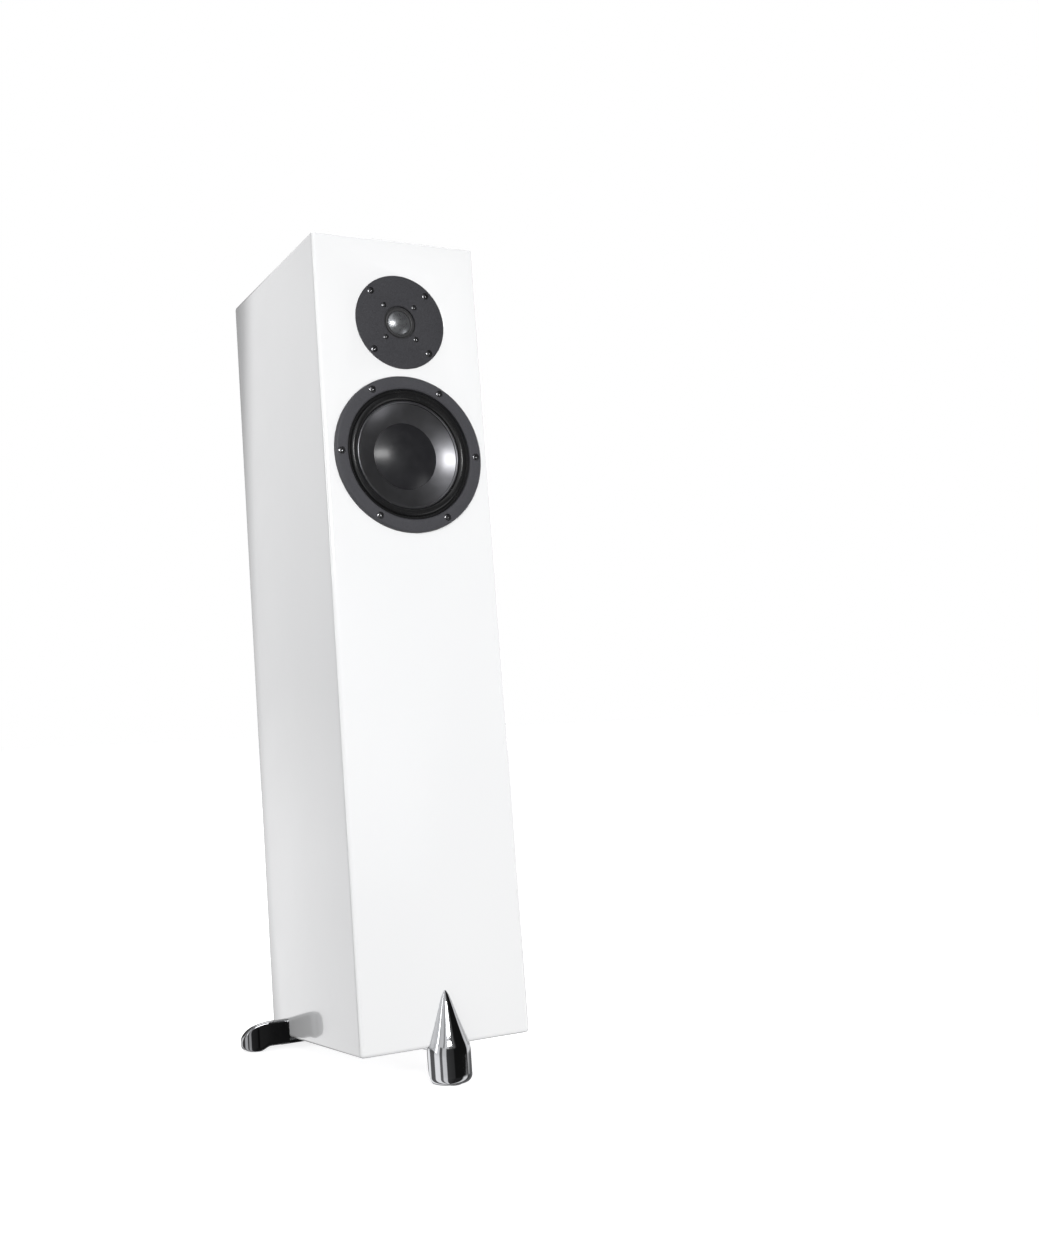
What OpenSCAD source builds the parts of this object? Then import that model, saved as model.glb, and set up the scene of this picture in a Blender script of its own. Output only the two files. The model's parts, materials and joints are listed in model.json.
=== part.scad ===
/* [Cabinet] */
// Width of the cabinet
cab_w = 196; // [190:1:300]
// Depth of the cabinet
cab_d = 264; // [220:1:400]
// Height of the cabinet
cab_h = 873; // [730:1:1200]
// Thickness of the front board
front_t = 22; // [18:1:28]
// Thickness of the other boards
board_t = 18; // [15:1:24]
// Backward lean of the cabinet, in degrees
lean = 6.5; // [3:0.5:8]
// Height of the front bottom edge above the floor
front_lift = 36.5; // [34:0.5:44]

/* [Driver places] */
// Height of the woofer's centre above the cabinet's bottom
woofer_up = 629.5; // [480:0.5:990]
// Gap between the woofer's flange and the tweeter's faceplate
driver_space = 9.3; // [4:0.1:60]

/* [Tweeter] */
// Radius of the faceplate
tw_plate_r = 52.7; // [46:0.1:62]
// Thickness of the faceplate
tw_plate_t = 4; // [3.5:0.1:5]
// How far the faceplate stands proud of the cabinet
tw_proud = 0.5; // [0.2:0.1:1]
// Radius of the well around the dome
tw_well_r = 18.5; // [17.5:0.1:20]
// Radius of the dome
dome_r = 13.3; // [11:0.1:13.6]
// Height of the dome
dome_h = 4; // [3:0.1:5]
// Radius of the circle of the outer screws
tw_outer_pcr = 46.5; // [44:0.1:48]
// Radius of the circle of the inner screws
tw_inner_pcr = 25.7; // [24:0.1:30]
// Radius of the motor
tw_motor_r = 36; // [33:0.5:38]
// Thickness of the magnet ring
tw_magnet_t = 10; // [8:0.5:16]
// Depth of the rear chamber
tw_chamber_l = 22; // [15:1:30]

/* [Woofer] */
// Radius of the frame's flange
wf_flange_r = 87; // [84:0.5:92]
// Thickness of the flange
wf_flange_t = 7; // [6:0.5:8]
// How far the flange stands proud of the cabinet
wf_proud = 4.5; // [3:0.1:5]
// Inner radius of the flange
wf_opening_r = 72.6; // [71:0.1:73]
// Radius of the circle of the screws
wf_pcr = 80; // [79.5:0.1:81]
// Number of screws
wf_screws = 6; // [4:1:8]
// Outer radius of the cone
cone_r = 60.5; // [57:0.5:62]
// Depth of the cone from its edge to the dust cap
cone_depth = 8; // [6:0.5:12]
// Radius of the dust cap and of the voice coil's former
cap_r = 37.2; // [33:0.1:39]
// Height of the dust cap's crown
cap_h = 9; // [6:0.5:12]
// Thickness of the magnet disc
wf_magnet_t = 14; // [10:1:20]
// Travel of the cone each way
wf_travel = 5; // [3:0.5:6]

/* [Port] */
// Inner radius of the port
port_r = 25; // [20:0.5:30]
// Length of the port
port_l = 140; // [90:5:170]
// Height of the port's centre above the cabinet's bottom
port_up = 340; // [320:5:400]

/* [Rear terminals] */
// Width of the terminal plate
plate_w = 84; // [78:1:100]
// Height of the terminal plate
plate_h = 104; // [96:1:130]
// Height of the plate's centre above the cabinet's bottom
plate_up = 135; // [115:1:160]
// Distance between the posts from side to side
post_dx = 19; // [19:0.5:30]
// Distance between the posts from top to bottom
post_dz = 44; // [30:1:50]
// Radius of a post's thread
post_r = 4; // [3.5:0.1:4.5]
// Radius of a post's plug socket
socket_r = 2; // [1.9:0.05:2.1]
// Depth of a post's plug socket
socket_l = 14; // [10:0.5:16]
// Radius of a knob
knob_r = 8.5; // [7.5:0.1:9]
// Length of a knob
knob_l = 16; // [14:0.5:20]

/* [Feet] */
// Radius of the front claw
claw_r = 23; // [20:0.5:26]
// Height of the front claw's tip above the cabinet's bottom
claw_tip = 57; // [45:1:65]
// Reach of a side claw from the cabinet's side
horn_reach = 49.5; // [42:0.5:60]
// Height of a side claw's top above the cabinet's bottom
horn_top = 22; // [18:0.5:26]
// Width of a side claw where it leaves the cabinet
horn_w = 33; // [26:1:38]
// Distance of the side claws' middle from the cabinet's back
horn_inset = 34; // [28:1:50]
// Thickness of the arms under the cabinet
arm_t = 7; // [5:0.5:8]
// Radius of a foot bolt
bolt_r = 3; // [2.5:0.5:4]

/* [Hidden] */
$fn = 64;

// Clearances
gap = 0.2;        // around a piece that drops into a recess
screw_gap = 0.1;  // around a screw in its hole
head_gap = 0.3;   // around a countersunk head
head_sunk = 0.2;  // how far a head lies below the face
run_gap = 0.06;   // around a shaft that turns or slides in its bore
eps = 0.01;       // lets a cut run past a face

// Height of the tweeter's centre
tweeter_up = woofer_up + wf_flange_r + driver_space + tw_plate_r;

// Inside of the cabinet
in_w = cab_w - 2 * board_t;
in_y0 = front_t;
in_y1 = cab_d - board_t;
in_d = in_y1 - in_y0;
brace_t = 15;
brace_z = [250, 500];
brace_rim = 25;

// Feet, in the cabinet's own frame: y runs back from the front face, z up from the bottom
pad_t = 0.8;                        // what shows of a floor pad
pad_sunk = 2;                       // what is sunk in the foot
pad_r = 9;
toe_pad_r = 5;
claw_edge = 8;                      // rounding of the front claw's lower edge
claw_back = 9.5;                    // how far the front claw reaches back under the cabinet
claw_arm_w = 22;
claw_arm_l = 70;
claw_bolt_y = 50;
horn_y = cab_d - horn_inset;
horn_bolt_x = cab_w / 2 - 34;
horn_arm_in = cab_w / 2 - 52;       // inner end of a side claw's arm
toe_x = horn_reach - 11;            // from the side face to the middle of the toe

// The front bottom edge stands over the floor, and the box of the whole part is centred on y = 0
low_y = (claw_r - claw_edge) * cos(lean) + claw_edge;
claw_edge_z = floor_z(claw_edge - claw_r) + claw_edge + pad_t;
reach_front = low_y - claw_edge_z * sin(lean);
reach_back = cab_d * cos(lean) + cab_h * sin(lean);
front_y = (reach_front - reach_back) / 2;

// Height of the floor under a place y behind the front face, in the cabinet's own frame
function floor_z(y) = (y * sin(lean) - front_lift) / cos(lean);

// Puts what is drawn in the cabinet's own frame into the part's frame
module place() {
  translate([0, front_y, front_lift]) rotate([-lean, 0, 0]) children();
}

// Turns a shape drawn along z so that it runs back along y, at a height on the middle line
module back_at(up, x = 0, y = 0) {
  translate([x, y, up]) rotate([-90, 0, 0]) children();
}

module ring(r1, r2, y0, y1) {
  translate([0, 0, y0]) difference() {
    cylinder(r = r2, h = y1 - y0);
    translate([0, 0, -1]) cylinder(r = r1, h = y1 - y0 + 2);
  }
}

module around(count, r, first = 0) {
  for (i = [0 : count - 1]) rotate([0, 0, first + 360 * i / count]) translate([r, 0, 0]) children();
}

module rounded_plate(w, h, r, t) {
  linear_extrude(t) union() {
    square([w - 2 * r, h], center = true);
    square([w, h - 2 * r], center = true);
    for (sx = [-1, 1]) for (sy = [-1, 1]) translate([sx * (w / 2 - r), sy * (h / 2 - r)]) circle(r);
  }
}

// Screw along z with a countersunk head whose top is at z = 0
module flat_screw(r, head_r, l) {
  cylinder(r1 = head_r, r2 = r, h = head_r - r);
  cylinder(r = r, h = l);
}

// Countersunk hole for such a screw, with clearance
module screw_hole(r, head_r, l) {
  flat_screw(r + screw_gap, head_r + head_gap, l);
}

// Cap of a ball: base radius r at z = base, crown pointing to -z
function arc_r(r, h) = (r * r + h * h) / (2 * h);
function cap_line(r, h, base, steps) = [
  for (i = [0 : steps]) let (s = arc_r(r, h), a = asin(r / s) * i / steps)
    [s * sin(a), base - h + s - s * cos(a)]
];
function reversed(p) = [for (i = [len(p) - 1 : -1 : 0]) p[i]];

// Half roll from r1 to r2 that swells to -z, as an open line
function roll_line(r1, r2, base, steps) = [
  for (i = [0 : steps]) let (a = 180 - 180 * i / steps, m = (r1 + r2) / 2, s = (r2 - r1) / 2)
    [m + s * cos(a), base - s * sin(a)]
];

// Cabinet

module front_baffle() place() color("white") difference() {
  translate([-cab_w / 2, 0, 0]) cube([cab_w, front_t, cab_h]);
  back_at(tweeter_up) {
    translate([0, 0, -1]) cylinder(r = tw_plate_r + gap, h = tw_seat + 1);
    translate([0, 0, -1]) cylinder(r = tw_motor_r + 2, h = front_t + 2);
    around(4, tw_outer_pcr, 45) cylinder(r = screw_r + screw_gap, h = screw_l + 1);
  }
  back_at(woofer_up) {
    translate([0, 0, -1]) cylinder(r = wf_flange_r + gap, h = wf_seat + 1);
    translate([0, 0, -1]) cylinder(r = wf_body_r + 0.7, h = front_t + 2);
    around(wf_screws, wf_pcr) cylinder(r = screw_r + screw_gap, h = screw_l + 1);
  }
}

module rear_panel() place() color("white") difference() {
  translate([-cab_w / 2, in_y1, 0]) cube([cab_w, board_t, cab_h]);
  back_at(port_up) {
    translate([0, 0, in_y1 - 1]) cylinder(r = port_collar_r + screw_gap, h = board_t + 2);
    translate([0, 0, cab_d - port_lip_t]) cylinder(r = port_lip_r + gap, h = port_lip_t + 1);
  }
  translate([-hatch_w / 2, in_y1 - 1, plate_up - hatch_h / 2]) cube([hatch_w, board_t + 2, hatch_h]);
  plate_screw_places() translate([0, 0, -plate_screw_l])
    cylinder(r = plate_screw_r + screw_gap, h = plate_screw_l + 1);
}

module side_board(x0) place() color("white") {
  translate([x0, in_y0, 0]) cube([board_t, in_d, cab_h]);
}

module left_side_panel() side_board(-cab_w / 2);

module right_side_panel() side_board(cab_w / 2 - board_t);

module top_panel() place() color("white") {
  translate([-in_w / 2, in_y0, cab_h - board_t]) cube([in_w, in_d, board_t]);
}

module bottom_panel() place() color("white") difference() {
  translate([-in_w / 2, in_y0, 0]) cube([in_w, in_d, board_t]);
  foot_bolt_places() translate([0, 0, -1]) cylinder(r = insert_r + screw_gap, h = insert_l + 1);
}

module braces() place() color("burlywood") {
  for (z = brace_z) translate([0, (in_y0 + in_y1) / 2, z]) difference() {
    translate([-in_w / 2, -in_d / 2, 0]) cube([in_w, in_d, brace_t]);
    translate([0, 0, -1]) rounded_plate(in_w - 2 * brace_rim, in_d - 2 * brace_rim, 20, brace_t + 2);
  }
}

// Felt sheets on both side walls, one in each bay between the boards and braces
felt_t = 8;
felt_rim = 10;
bays = [
  [board_t + 30, brace_z[0]],
  [brace_z[0] + brace_t, brace_z[1]],
  [brace_z[1] + brace_t, cab_h - board_t]
];

module felt_lining() place() color("dimgray") {
  for (b = bays) for (s = [-1, 1])
    translate([s * (in_w - felt_t) / 2 - felt_t / 2, in_y0 + felt_rim, b[0] + felt_rim])
      cube([felt_t, in_d - 2 * felt_rim, b[1] - b[0] - 2 * felt_rim]);
}

// Port

port_wall = 2.5;
flare = 8;
port_lip_t = 2.5;
port_collar_r = port_r + flare + 2;
port_lip_r = port_collar_r + 6;

function flare_line(steps) = [
  for (i = [0 : steps]) let (a = 90 * i / steps)
    [port_r + flare - flare * cos(a), cab_d - flare + flare * sin(a)]
];

module port_tube() place() color("black") back_at(port_up) rotate_extrude()
  polygon(concat(
    [[port_r + port_wall, cab_d - port_l], [port_r, cab_d - port_l]],
    flare_line(8),
    [[port_lip_r, cab_d], [port_lip_r, cab_d - port_lip_t], [port_collar_r, cab_d - port_lip_t],
     [port_collar_r, in_y1 - eps], [port_r + port_wall, in_y1 - eps]]
  ));

// Screws that hold the drivers

screw_r = 1.9;
screw_head_r = 3.6;
screw_l = 18;

// Tweeter, drawn along z with the cabinet's face at z = 0

tw_gasket_t = 0.8;
tw_back = tw_plate_t - tw_proud;            // rear face of the faceplate
tw_seat = tw_back + tw_gasket_t;
tw_steel_t = 3;
tw_magnet_z = tw_back + tw_steel_t;
tw_pole_z = tw_magnet_z + tw_magnet_t;
tw_chamber_z = tw_pole_z + 3.5;
dome_t = 0.3;
dome_base = tw_back - 0.6;
coil_gap = 0.5;
tw_former_t = 0.3;
tw_pole_r = dome_r - 0.3 - tw_former_t - coil_gap;
tw_gap_r = dome_r + 0.5 + coil_gap;
inner_screw_r = 1.45;
inner_head_r = 2.7;
tw_recess = 1;                              // width and depth of the well's bevel

module at_tweeter() place() back_at(tweeter_up) children();

module tweeter_faceplate() at_tweeter() color("darkslategray") difference() {
  rotate_extrude() polygon([
    [tw_well_r + tw_recess, -tw_proud], [tw_plate_r - 0.5, -tw_proud], [tw_plate_r, 0.5 - tw_proud],
    [tw_plate_r, tw_back], [tw_well_r, tw_back], [tw_well_r, tw_recess - tw_proud]
  ]);
  around(4, tw_outer_pcr, 45) translate([0, 0, -tw_proud - eps]) screw_hole(screw_r, screw_head_r, screw_l);
  around(4, tw_inner_pcr, 45) translate([0, 0, -tw_proud - eps])
    screw_hole(inner_screw_r, inner_head_r, screw_l);
}

module tweeter_outer_screws() at_tweeter() color("gray") {
  around(4, tw_outer_pcr, 45) translate([0, 0, head_sunk - tw_proud])
    flat_screw(screw_r, screw_head_r, screw_l);
}

module tweeter_inner_screws() at_tweeter() color("gray") {
  around(4, tw_inner_pcr, 45) translate([0, 0, head_sunk - tw_proud])
    flat_screw(inner_screw_r, inner_head_r, tw_magnet_z + tw_proud - head_sunk);
}

module tweeter_front_plate() at_tweeter() color("silver") difference() {
  ring(tw_gap_r, tw_motor_r, tw_back, tw_magnet_z);
  around(4, tw_inner_pcr, 45) cylinder(r = inner_screw_r + screw_gap, h = tw_magnet_z + 1);
}

module tweeter_magnet() at_tweeter() color("dimgray") {
  ring(tw_gap_r + 2, tw_motor_r - 1, tw_magnet_z, tw_pole_z);
}

module tweeter_back_plate() at_tweeter() color("silver") difference() {
  union() {
    translate([0, 0, tw_pole_z]) cylinder(r = tw_motor_r - 2, h = tw_chamber_z - tw_pole_z);
    translate([0, 0, tw_back]) cylinder(r = tw_pole_r, h = tw_chamber_z - tw_back);
  }
  translate([0, 0, tw_back - 1]) cylinder(r = 3.5, h = tw_chamber_z);
}

module tweeter_rear_chamber() at_tweeter() color("black") translate([0, 0, tw_chamber_z]) difference() {
  cylinder(r = tw_motor_r - 8, h = tw_chamber_l);
  translate([0, 0, -eps]) cylinder(r = tw_motor_r - 10, h = tw_chamber_l - 2);
}

// Solder tabs: 4.8 mm wide and 0.8 mm thick, as on most drivers
tab_w = 4.8;
tab_t = 0.8;
tw_tab_l = 8;
tw_tab_x = tw_motor_r - 5.5;
tw_tab_end = tw_chamber_z + tw_tab_l;

module tweeter_tabs() at_tweeter() color("gold") {
  for (s = [-1, 1]) translate([s * tw_tab_x - tab_w / 2, -tab_t / 2, tw_chamber_z])
    cube([tab_w, tab_t, tw_tab_l]);
}

module tweeter_dome() at_tweeter() color("lightgray") rotate_extrude() polygon(concat(
  cap_line(dome_r, dome_h, dome_base, 12),
  reversed(cap_line(dome_r - dome_t, dome_h - dome_t, dome_base, 12))
));

module tweeter_surround() at_tweeter() color("black") rotate_extrude() polygon(concat(
  roll_line(dome_r + 0.02, tw_well_r - 1.6, dome_base, 8),
  [[tw_well_r - gap, dome_base], [tw_well_r - gap, tw_back], [tw_well_r - 2, tw_back]],
  reversed(roll_line(dome_r + 0.3, tw_well_r - 1.9, dome_base + 0.01, 8))
));

module tweeter_coil() at_tweeter() color("peru") {
  ring(dome_r - tw_former_t - 0.3, dome_r - 0.3, dome_base, tw_magnet_z + 1);
  ring(dome_r - 0.3, dome_r + 0.2, tw_back + 0.2, tw_magnet_z + 0.8);
}

// Woofer, drawn along z with the cabinet's face at z = 0

wf_gasket_t = 1;
wf_back = wf_flange_t - wf_proud;           // rear face of the flange
wf_seat = wf_back + wf_gasket_t;
wf_body_r = wf_opening_r + 1.9;
ledge_z = 1.5;                              // where the surround is glued down
surround_t = 0.8;
cone_t = 0.9;
cone_z = ledge_z - surround_t;              // the cone's edge
cap_z = cone_z + cone_depth;                // the dust cap's rim
spider_r = 57;
spider_z = 25;
spider_t = 0.6;
spider_flat = 3.5;                          // width of the spider's glued rim
spider_rim_t = 1;
seat_z = 40;                                // where the motor meets the frame
seat_r = 50;
former_t = 0.3;
coil_t = 0.8;
former_end = seat_z + 8;
wf_pole_r = cap_r - former_t - 0.5;
wf_gap_r = cap_r + coil_t + 0.8;
pot_r = wf_gap_r + 7;
pole_t = 6;
wf_magnet_z = seat_z + pole_t;
pot_floor = wf_magnet_z + wf_magnet_t;
pot_back = pot_floor + 8;
flange_round = 3;
ribs = 6;
window_w = 44;
window_z = 8;
basket_wall = 3;
landing_z = spider_z + spider_rim_t;        // the spider is glued to this face
landing_back = landing_z + 2;
landing_r = spider_r - spider_flat + 0.5;
ledge_r = cone_r + 8;                       // inner edge of the surround's ledge
ledge_back = ledge_z + 2.5;

module at_woofer() place() back_at(woofer_up) children();

function flange_edge(steps) = [
  for (i = [0 : steps]) let (a = 90 * i / steps)
    [wf_flange_r - flange_round + flange_round * sin(a), flange_round - wf_proud - flange_round * cos(a)]
];

module woofer_basket() at_woofer() color("dimgray") difference() {
  rotate_extrude() polygon(concat(
    [[wf_opening_r, -wf_proud]],
    flange_edge(6),
    [[wf_flange_r, wf_back], [wf_body_r, wf_back], [spider_r + 4, landing_back], [seat_r, seat_z],
     [wf_gap_r, seat_z], [wf_gap_r, seat_z - basket_wall], [seat_r - 4, seat_z - basket_wall],
     [spider_r, landing_back], [landing_r, landing_back], [landing_r, landing_z], [spider_r + 1.2, landing_z],
     [wf_body_r - 2.2, ledge_back], [ledge_r, ledge_back], [ledge_r, ledge_z], [wf_opening_r, ledge_z]]
  ));
  for (i = [0 : ribs - 1]) rotate([0, 0, 360 * i / ribs]) translate([spider_r, -window_w / 2, window_z])
    cube([wf_body_r, window_w, spider_z - window_z]);
  around(wf_screws, wf_pcr) translate([0, 0, -wf_proud - eps]) screw_hole(screw_r, screw_head_r, screw_l);
}

module woofer_screws() at_woofer() color("gray") {
  around(wf_screws, wf_pcr) translate([0, 0, head_sunk - wf_proud])
    flat_screw(screw_r, screw_head_r, screw_l + wf_proud);
}

module driver_gaskets() {
  at_tweeter() color("black") difference() {
    ring(tw_motor_r + 3, tw_plate_r - 0.5, tw_back, tw_seat);
    around(4, tw_outer_pcr, 45) cylinder(r = screw_r + screw_gap, h = screw_l);
  }
  at_woofer() color("black") difference() {
    ring(wf_body_r + 1.2, wf_flange_r - 0.5, wf_back, wf_seat);
    around(wf_screws, wf_pcr) cylinder(r = screw_r + screw_gap, h = screw_l);
  }
}

module woofer_surround() at_woofer() color("black") rotate_extrude() polygon(concat(
  [[cone_r - 3, cone_z]],
  roll_line(cone_r + 0.1, cone_r + 8.5, cone_z, 12),
  [[wf_opening_r - gap, cone_z], [wf_opening_r - gap, ledge_z], [ledge_r, ledge_z]],
  reversed(roll_line(cone_r + 0.9, cone_r + 7.7, cone_z + surround_t, 12)),
  [[cone_r - 3, cone_z + surround_t]]
));

module woofer_cone() at_woofer() color("black") rotate_extrude() polygon([
  [cap_r + 0.1, cap_z + surround_t], [cap_r + 0.1, cap_z + surround_t + cone_t],
  [cone_r - 1.8, cone_z + surround_t + cone_t], [cone_r, cone_z + surround_t + cone_t],
  [cone_r, cone_z + surround_t], [cone_r - 3, cone_z + surround_t]
]);

module woofer_dust_cap() at_woofer() color("black") rotate_extrude() polygon(concat(
  cap_line(cap_r, cap_h, cap_z + surround_t, 12),
  reversed(cap_line(cap_r - cone_t, cap_h - cone_t, cap_z + surround_t, 12))
));

module woofer_coil_former() at_woofer() color("goldenrod") {
  ring(cap_r - former_t, cap_r, cap_z + surround_t, former_end);
}

module woofer_coil() at_woofer() color("peru") {
  ring(cap_r, cap_r + coil_t, seat_z - 2, former_end - 0.5);
}

// Corrugated ring that centres the former
spider_rolls = 4;
spider_in = cap_r + 0.02;
spider_roll_h = 1.2;
function spider_line(z) = [
  for (i = [0 : spider_rolls * 4])
    let (t = i / (spider_rolls * 4), r1 = spider_in + 2, r2 = spider_r - spider_flat)
      [r1 + (r2 - r1) * t, z - spider_roll_h * sin(360 * spider_rolls * t)]
];

module woofer_spider() at_woofer() color("khaki") rotate_extrude() polygon(concat(
  [[spider_in, spider_z]], spider_line(spider_z), [[spider_r, spider_z], [spider_r, spider_z + spider_rim_t]],
  [[spider_r - spider_flat, spider_z + spider_rim_t]], reversed(spider_line(spider_z + spider_t)),
  [[spider_in, spider_z + spider_t]]
));

module woofer_pole_plate() at_woofer() color("silver") {
  translate([0, 0, seat_z]) cylinder(r = wf_pole_r, h = pole_t);
}

module woofer_magnet() at_woofer() color("dimgray") {
  translate([0, 0, wf_magnet_z]) cylinder(r = wf_pole_r - 4, h = wf_magnet_t);
}

module woofer_pot() at_woofer() color("darkgray") translate([0, 0, seat_z]) difference() {
  cylinder(r = pot_r, h = pot_back - seat_z);
  translate([0, 0, -1]) cylinder(r = wf_gap_r, h = pot_floor - seat_z + 1);
}

// Terminal block on the frame's side, and its two tabs
block_z = spider_z + 4.5;
block_x = spider_r + 1.5;
block_t = 5;
block_w = 24;
block_l = 10;
tab_x = block_x + block_t;
tab_z = 7;                                  // from the middle line to a tab
tab_l = 12;
tab_end = block_z + 1 + tab_l;

module woofer_terminals() at_woofer() {
  color("saddlebrown") translate([block_x, -block_w / 2, block_z]) cube([block_t, block_w, block_l]);
  color("gold") for (s = [-1, 1]) translate([tab_x, s * tab_z - tab_w / 2, block_z + 1])
    cube([tab_t, tab_w, tab_l]);
}

// Wires, and the crossover board that they lead to

function unit(v) = v / norm(v);
function curve_point(p, i, t) =
  let (a = p[max(i - 1, 0)], b = p[i], c = p[i + 1], d = p[min(i + 2, len(p) - 1)])
    0.5 * (2 * b + (c - a) * t + (2 * a - 5 * b + 4 * c - d) * t * t + (3 * b - a - 3 * c + d) * t * t * t);
function smooth_route(p, steps) = concat(
  [for (i = [0 : len(p) - 2]) for (s = [0 : steps - 1]) curve_point(p, i, s / steps)],
  [p[len(p) - 1]]
);
function heading(p, i) = unit(p[min(i + 1, len(p) - 1)] - p[max(i - 1, 0)]);

wire_sides = 8;

// Tube of radius r swept along route, whose headings never run along x
module wire(route, r) {
  count = len(route);
  rings = [
    for (i = [0 : count - 1]) let (h = heading(route, i), u = unit(cross(h, [1, 0, 0])), v = cross(h, u))
      for (s = [0 : wire_sides - 1]) let (a = 360 * s / wire_sides) route[i] + r * (u * cos(a) + v * sin(a))
  ];
  sides = [
    for (i = [0 : count - 2]) for (s = [0 : wire_sides - 1])
      let (n = (s + 1) % wire_sides, k = i * wire_sides)
        [k + s, k + n, k + n + wire_sides, k + s + wire_sides]
  ];
  first_end = [for (s = [wire_sides - 1 : -1 : 0]) s];
  last_end = [for (s = [0 : wire_sides - 1]) (count - 1) * wire_sides + s];
  polyhedron(points = rings, faces = concat(sides, [first_end, last_end]), convexity = 4);
}

post_in = 14;                               // how far a post runs in past the cabinet's back
lead_r = 1.5;
tinsel_r = 0.7;

// From the former, out through a window of the frame, to the front ends of the terminal tabs
module tinsel_leads() at_woofer() color("peru") {
  for (s = [-1, 1]) wire(smooth_route([
    [cap_r + 0.8, s * 7.2, 18], [cap_r + 6, s * 7.3, 20.5], [cap_r + 12, s * 7.3, 20],
    [cap_r + 18, s * 7.2, 18], [spider_r + 4, s * 7.1, 17.5], [spider_r + 9, s * 7, 20],
    [spider_r + 10, s * 7, 24],
    [spider_r + 8, s * 7, 28], [tab_x + 0.7, s * tab_z, block_z + 0.95]
  ], 3), tinsel_r);
}

pcb_t = 1.6;
spacer_h = 6;
pcb_w = 110;
pcb_y0 = 60;
pcb_y1 = 210;
pcb_hole = 6;
pcb_screw_r = 1.5;
board_top = board_t + spacer_h + pcb_t;
lead_x = 6;

// From the posts' inner ends down to the crossover board
module input_leads() place() color("firebrick") {
  for (sx = [-1, 1]) for (sz = [-1, 1]) wire(smooth_route([
    [sx * post_dx / 2, cab_d - post_in - 0.05, plate_up + sz * post_dz / 2],
    [sx * post_dx / 2, cab_d - post_in - 3, plate_up + sz * post_dz / 2],
    [sx * post_dx / 2, cab_d - post_in - 6, plate_up + sz * post_dz / 2],
    [sx * (post_dx / 2 + 2 + 2 * sz), cab_d - post_in - 12 - 4 * sz, plate_up + sz * post_dz / 2 - 8],
    [sx * (post_dx / 2 + 4 + 4 * sz), pcb_y1 + 8 - 4 * sz, 75],
    [sx * (post_dx / 2 + 4 + 4 * sz), pcb_y1 - 7 - 4 * sz, board_top + 14],
    [sx * (post_dx / 2 + 4 + 4 * sz), pcb_y1 - 7 - 4 * sz, board_top + 6],
    [sx * (post_dx / 2 + 4 + 4 * sz), pcb_y1 - 7 - 4 * sz, board_top + 0.05]
  ], 3), lead_r);
}

// From the crossover board up through the braces to the drivers
module driver_leads() place() {
  color("darkblue") for (s = [-1, 1]) wire(smooth_route([
    [s * lead_x, 72, board_top + 0.05], [s * lead_x, 72, board_top + 6], [s * lead_x, 72, board_top + 15],
    [s * lead_x, 90, 160], [s * lead_x, 95, 260], [s * lead_x + 10, 95, 400], [s * lead_x + 25, 95, 510],
    [s * lead_x + 44, 88, 580], [tab_x + 0.4, 72, woofer_up + s * tab_z - 10],
    [tab_x + 0.4, tab_end + 9, woofer_up + s * tab_z], [tab_x + 0.4, tab_end + 4, woofer_up + s * tab_z],
    [tab_x + 0.4, tab_end + 0.05, woofer_up + s * tab_z]
  ], 5), lead_r);
  color("seagreen") for (s = [-1, 1]) wire(smooth_route([
    [s * lead_x - 20, 72, board_top + 0.05], [s * lead_x - 20, 72, board_top + 6],
    [s * lead_x - 20, 72, board_top + 15], [s * lead_x - 22, 105, 160], [s * lead_x - 26, 112, 260],
    [s * lead_x - 30, 118, 400], [s * lead_x - 36, 125, 510], [s * lead_x - 40, 125, 630],
    [s * lead_x - 30, 110, 720], [s * 20, 80, tweeter_up - 8], [s * tw_tab_x, tw_tab_end + 14, tweeter_up],
    [s * tw_tab_x, tw_tab_end + 6, tweeter_up], [s * tw_tab_x, tw_tab_end + 0.05, tweeter_up]
  ], 5), lead_r);
}

// Crossover

module pcb_corners() {
  for (sx = [-1, 1]) for (y = [pcb_y0 + pcb_hole, pcb_y1 - pcb_hole])
    translate([sx * (pcb_w / 2 - pcb_hole), y, board_t]) children();
}

module crossover_board() place() color("darkgreen") difference() {
  translate([-pcb_w / 2, pcb_y0, board_t + spacer_h]) cube([pcb_w, pcb_y1 - pcb_y0, pcb_t]);
  pcb_corners() cylinder(r = pcb_screw_r + screw_gap, h = spacer_h + 5);
}

module board_fixings() place() {
  color("white") pcb_corners() ring(pcb_screw_r + screw_gap, 4, 0, spacer_h);
  color("silver") pcb_corners() {
    translate([0, 0, eps]) cylinder(r = pcb_screw_r, h = spacer_h + pcb_t);
    translate([0, 0, spacer_h + pcb_t]) cylinder(r = 3, h = 2);
  }
}

module inductors() place() color("peru") {
  translate([-26, 160, board_top]) ring(12, 25, 0, 24);
  translate([32, 100, board_top]) ring(8, 17, 0, 16);
}

module capacitors() place() color("goldenrod") {
  for (c = [[18, 140, 9, 36], [18, 162, 9, 36], [-46, 100, 7, 28]])
    translate([c[0], c[1], board_top + c[2] + 0.02]) rotate([0, 90, 0]) cylinder(r = c[2], h = c[3]);
}

module resistors() place() color("ivory") {
  for (y = [118, 80]) translate([-46, y, board_top]) cube([24, 9, 9]);
  translate([18, 182, board_top]) cube([24, 9, 9]);
}

// Rear terminals, placed by post: side -1 or 1 and level -1 or 1

plate_t = 3;
hatch_w = plate_w - 24;
hatch_h = plate_h - 24;
plate_screw_r = 1.6;
plate_screw_l = 14;
collar_t = 3;
collar_y = cab_d + plate_t + collar_t;      // rear face of a post's collar
strap_t = 0.8;
strap_w = 12;
washer_t = 1.5;
knob_y = collar_y + strap_t + washer_t;
post_end = knob_y + knob_l;
nut_t = 4;
nut_r = 7.5;

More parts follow.
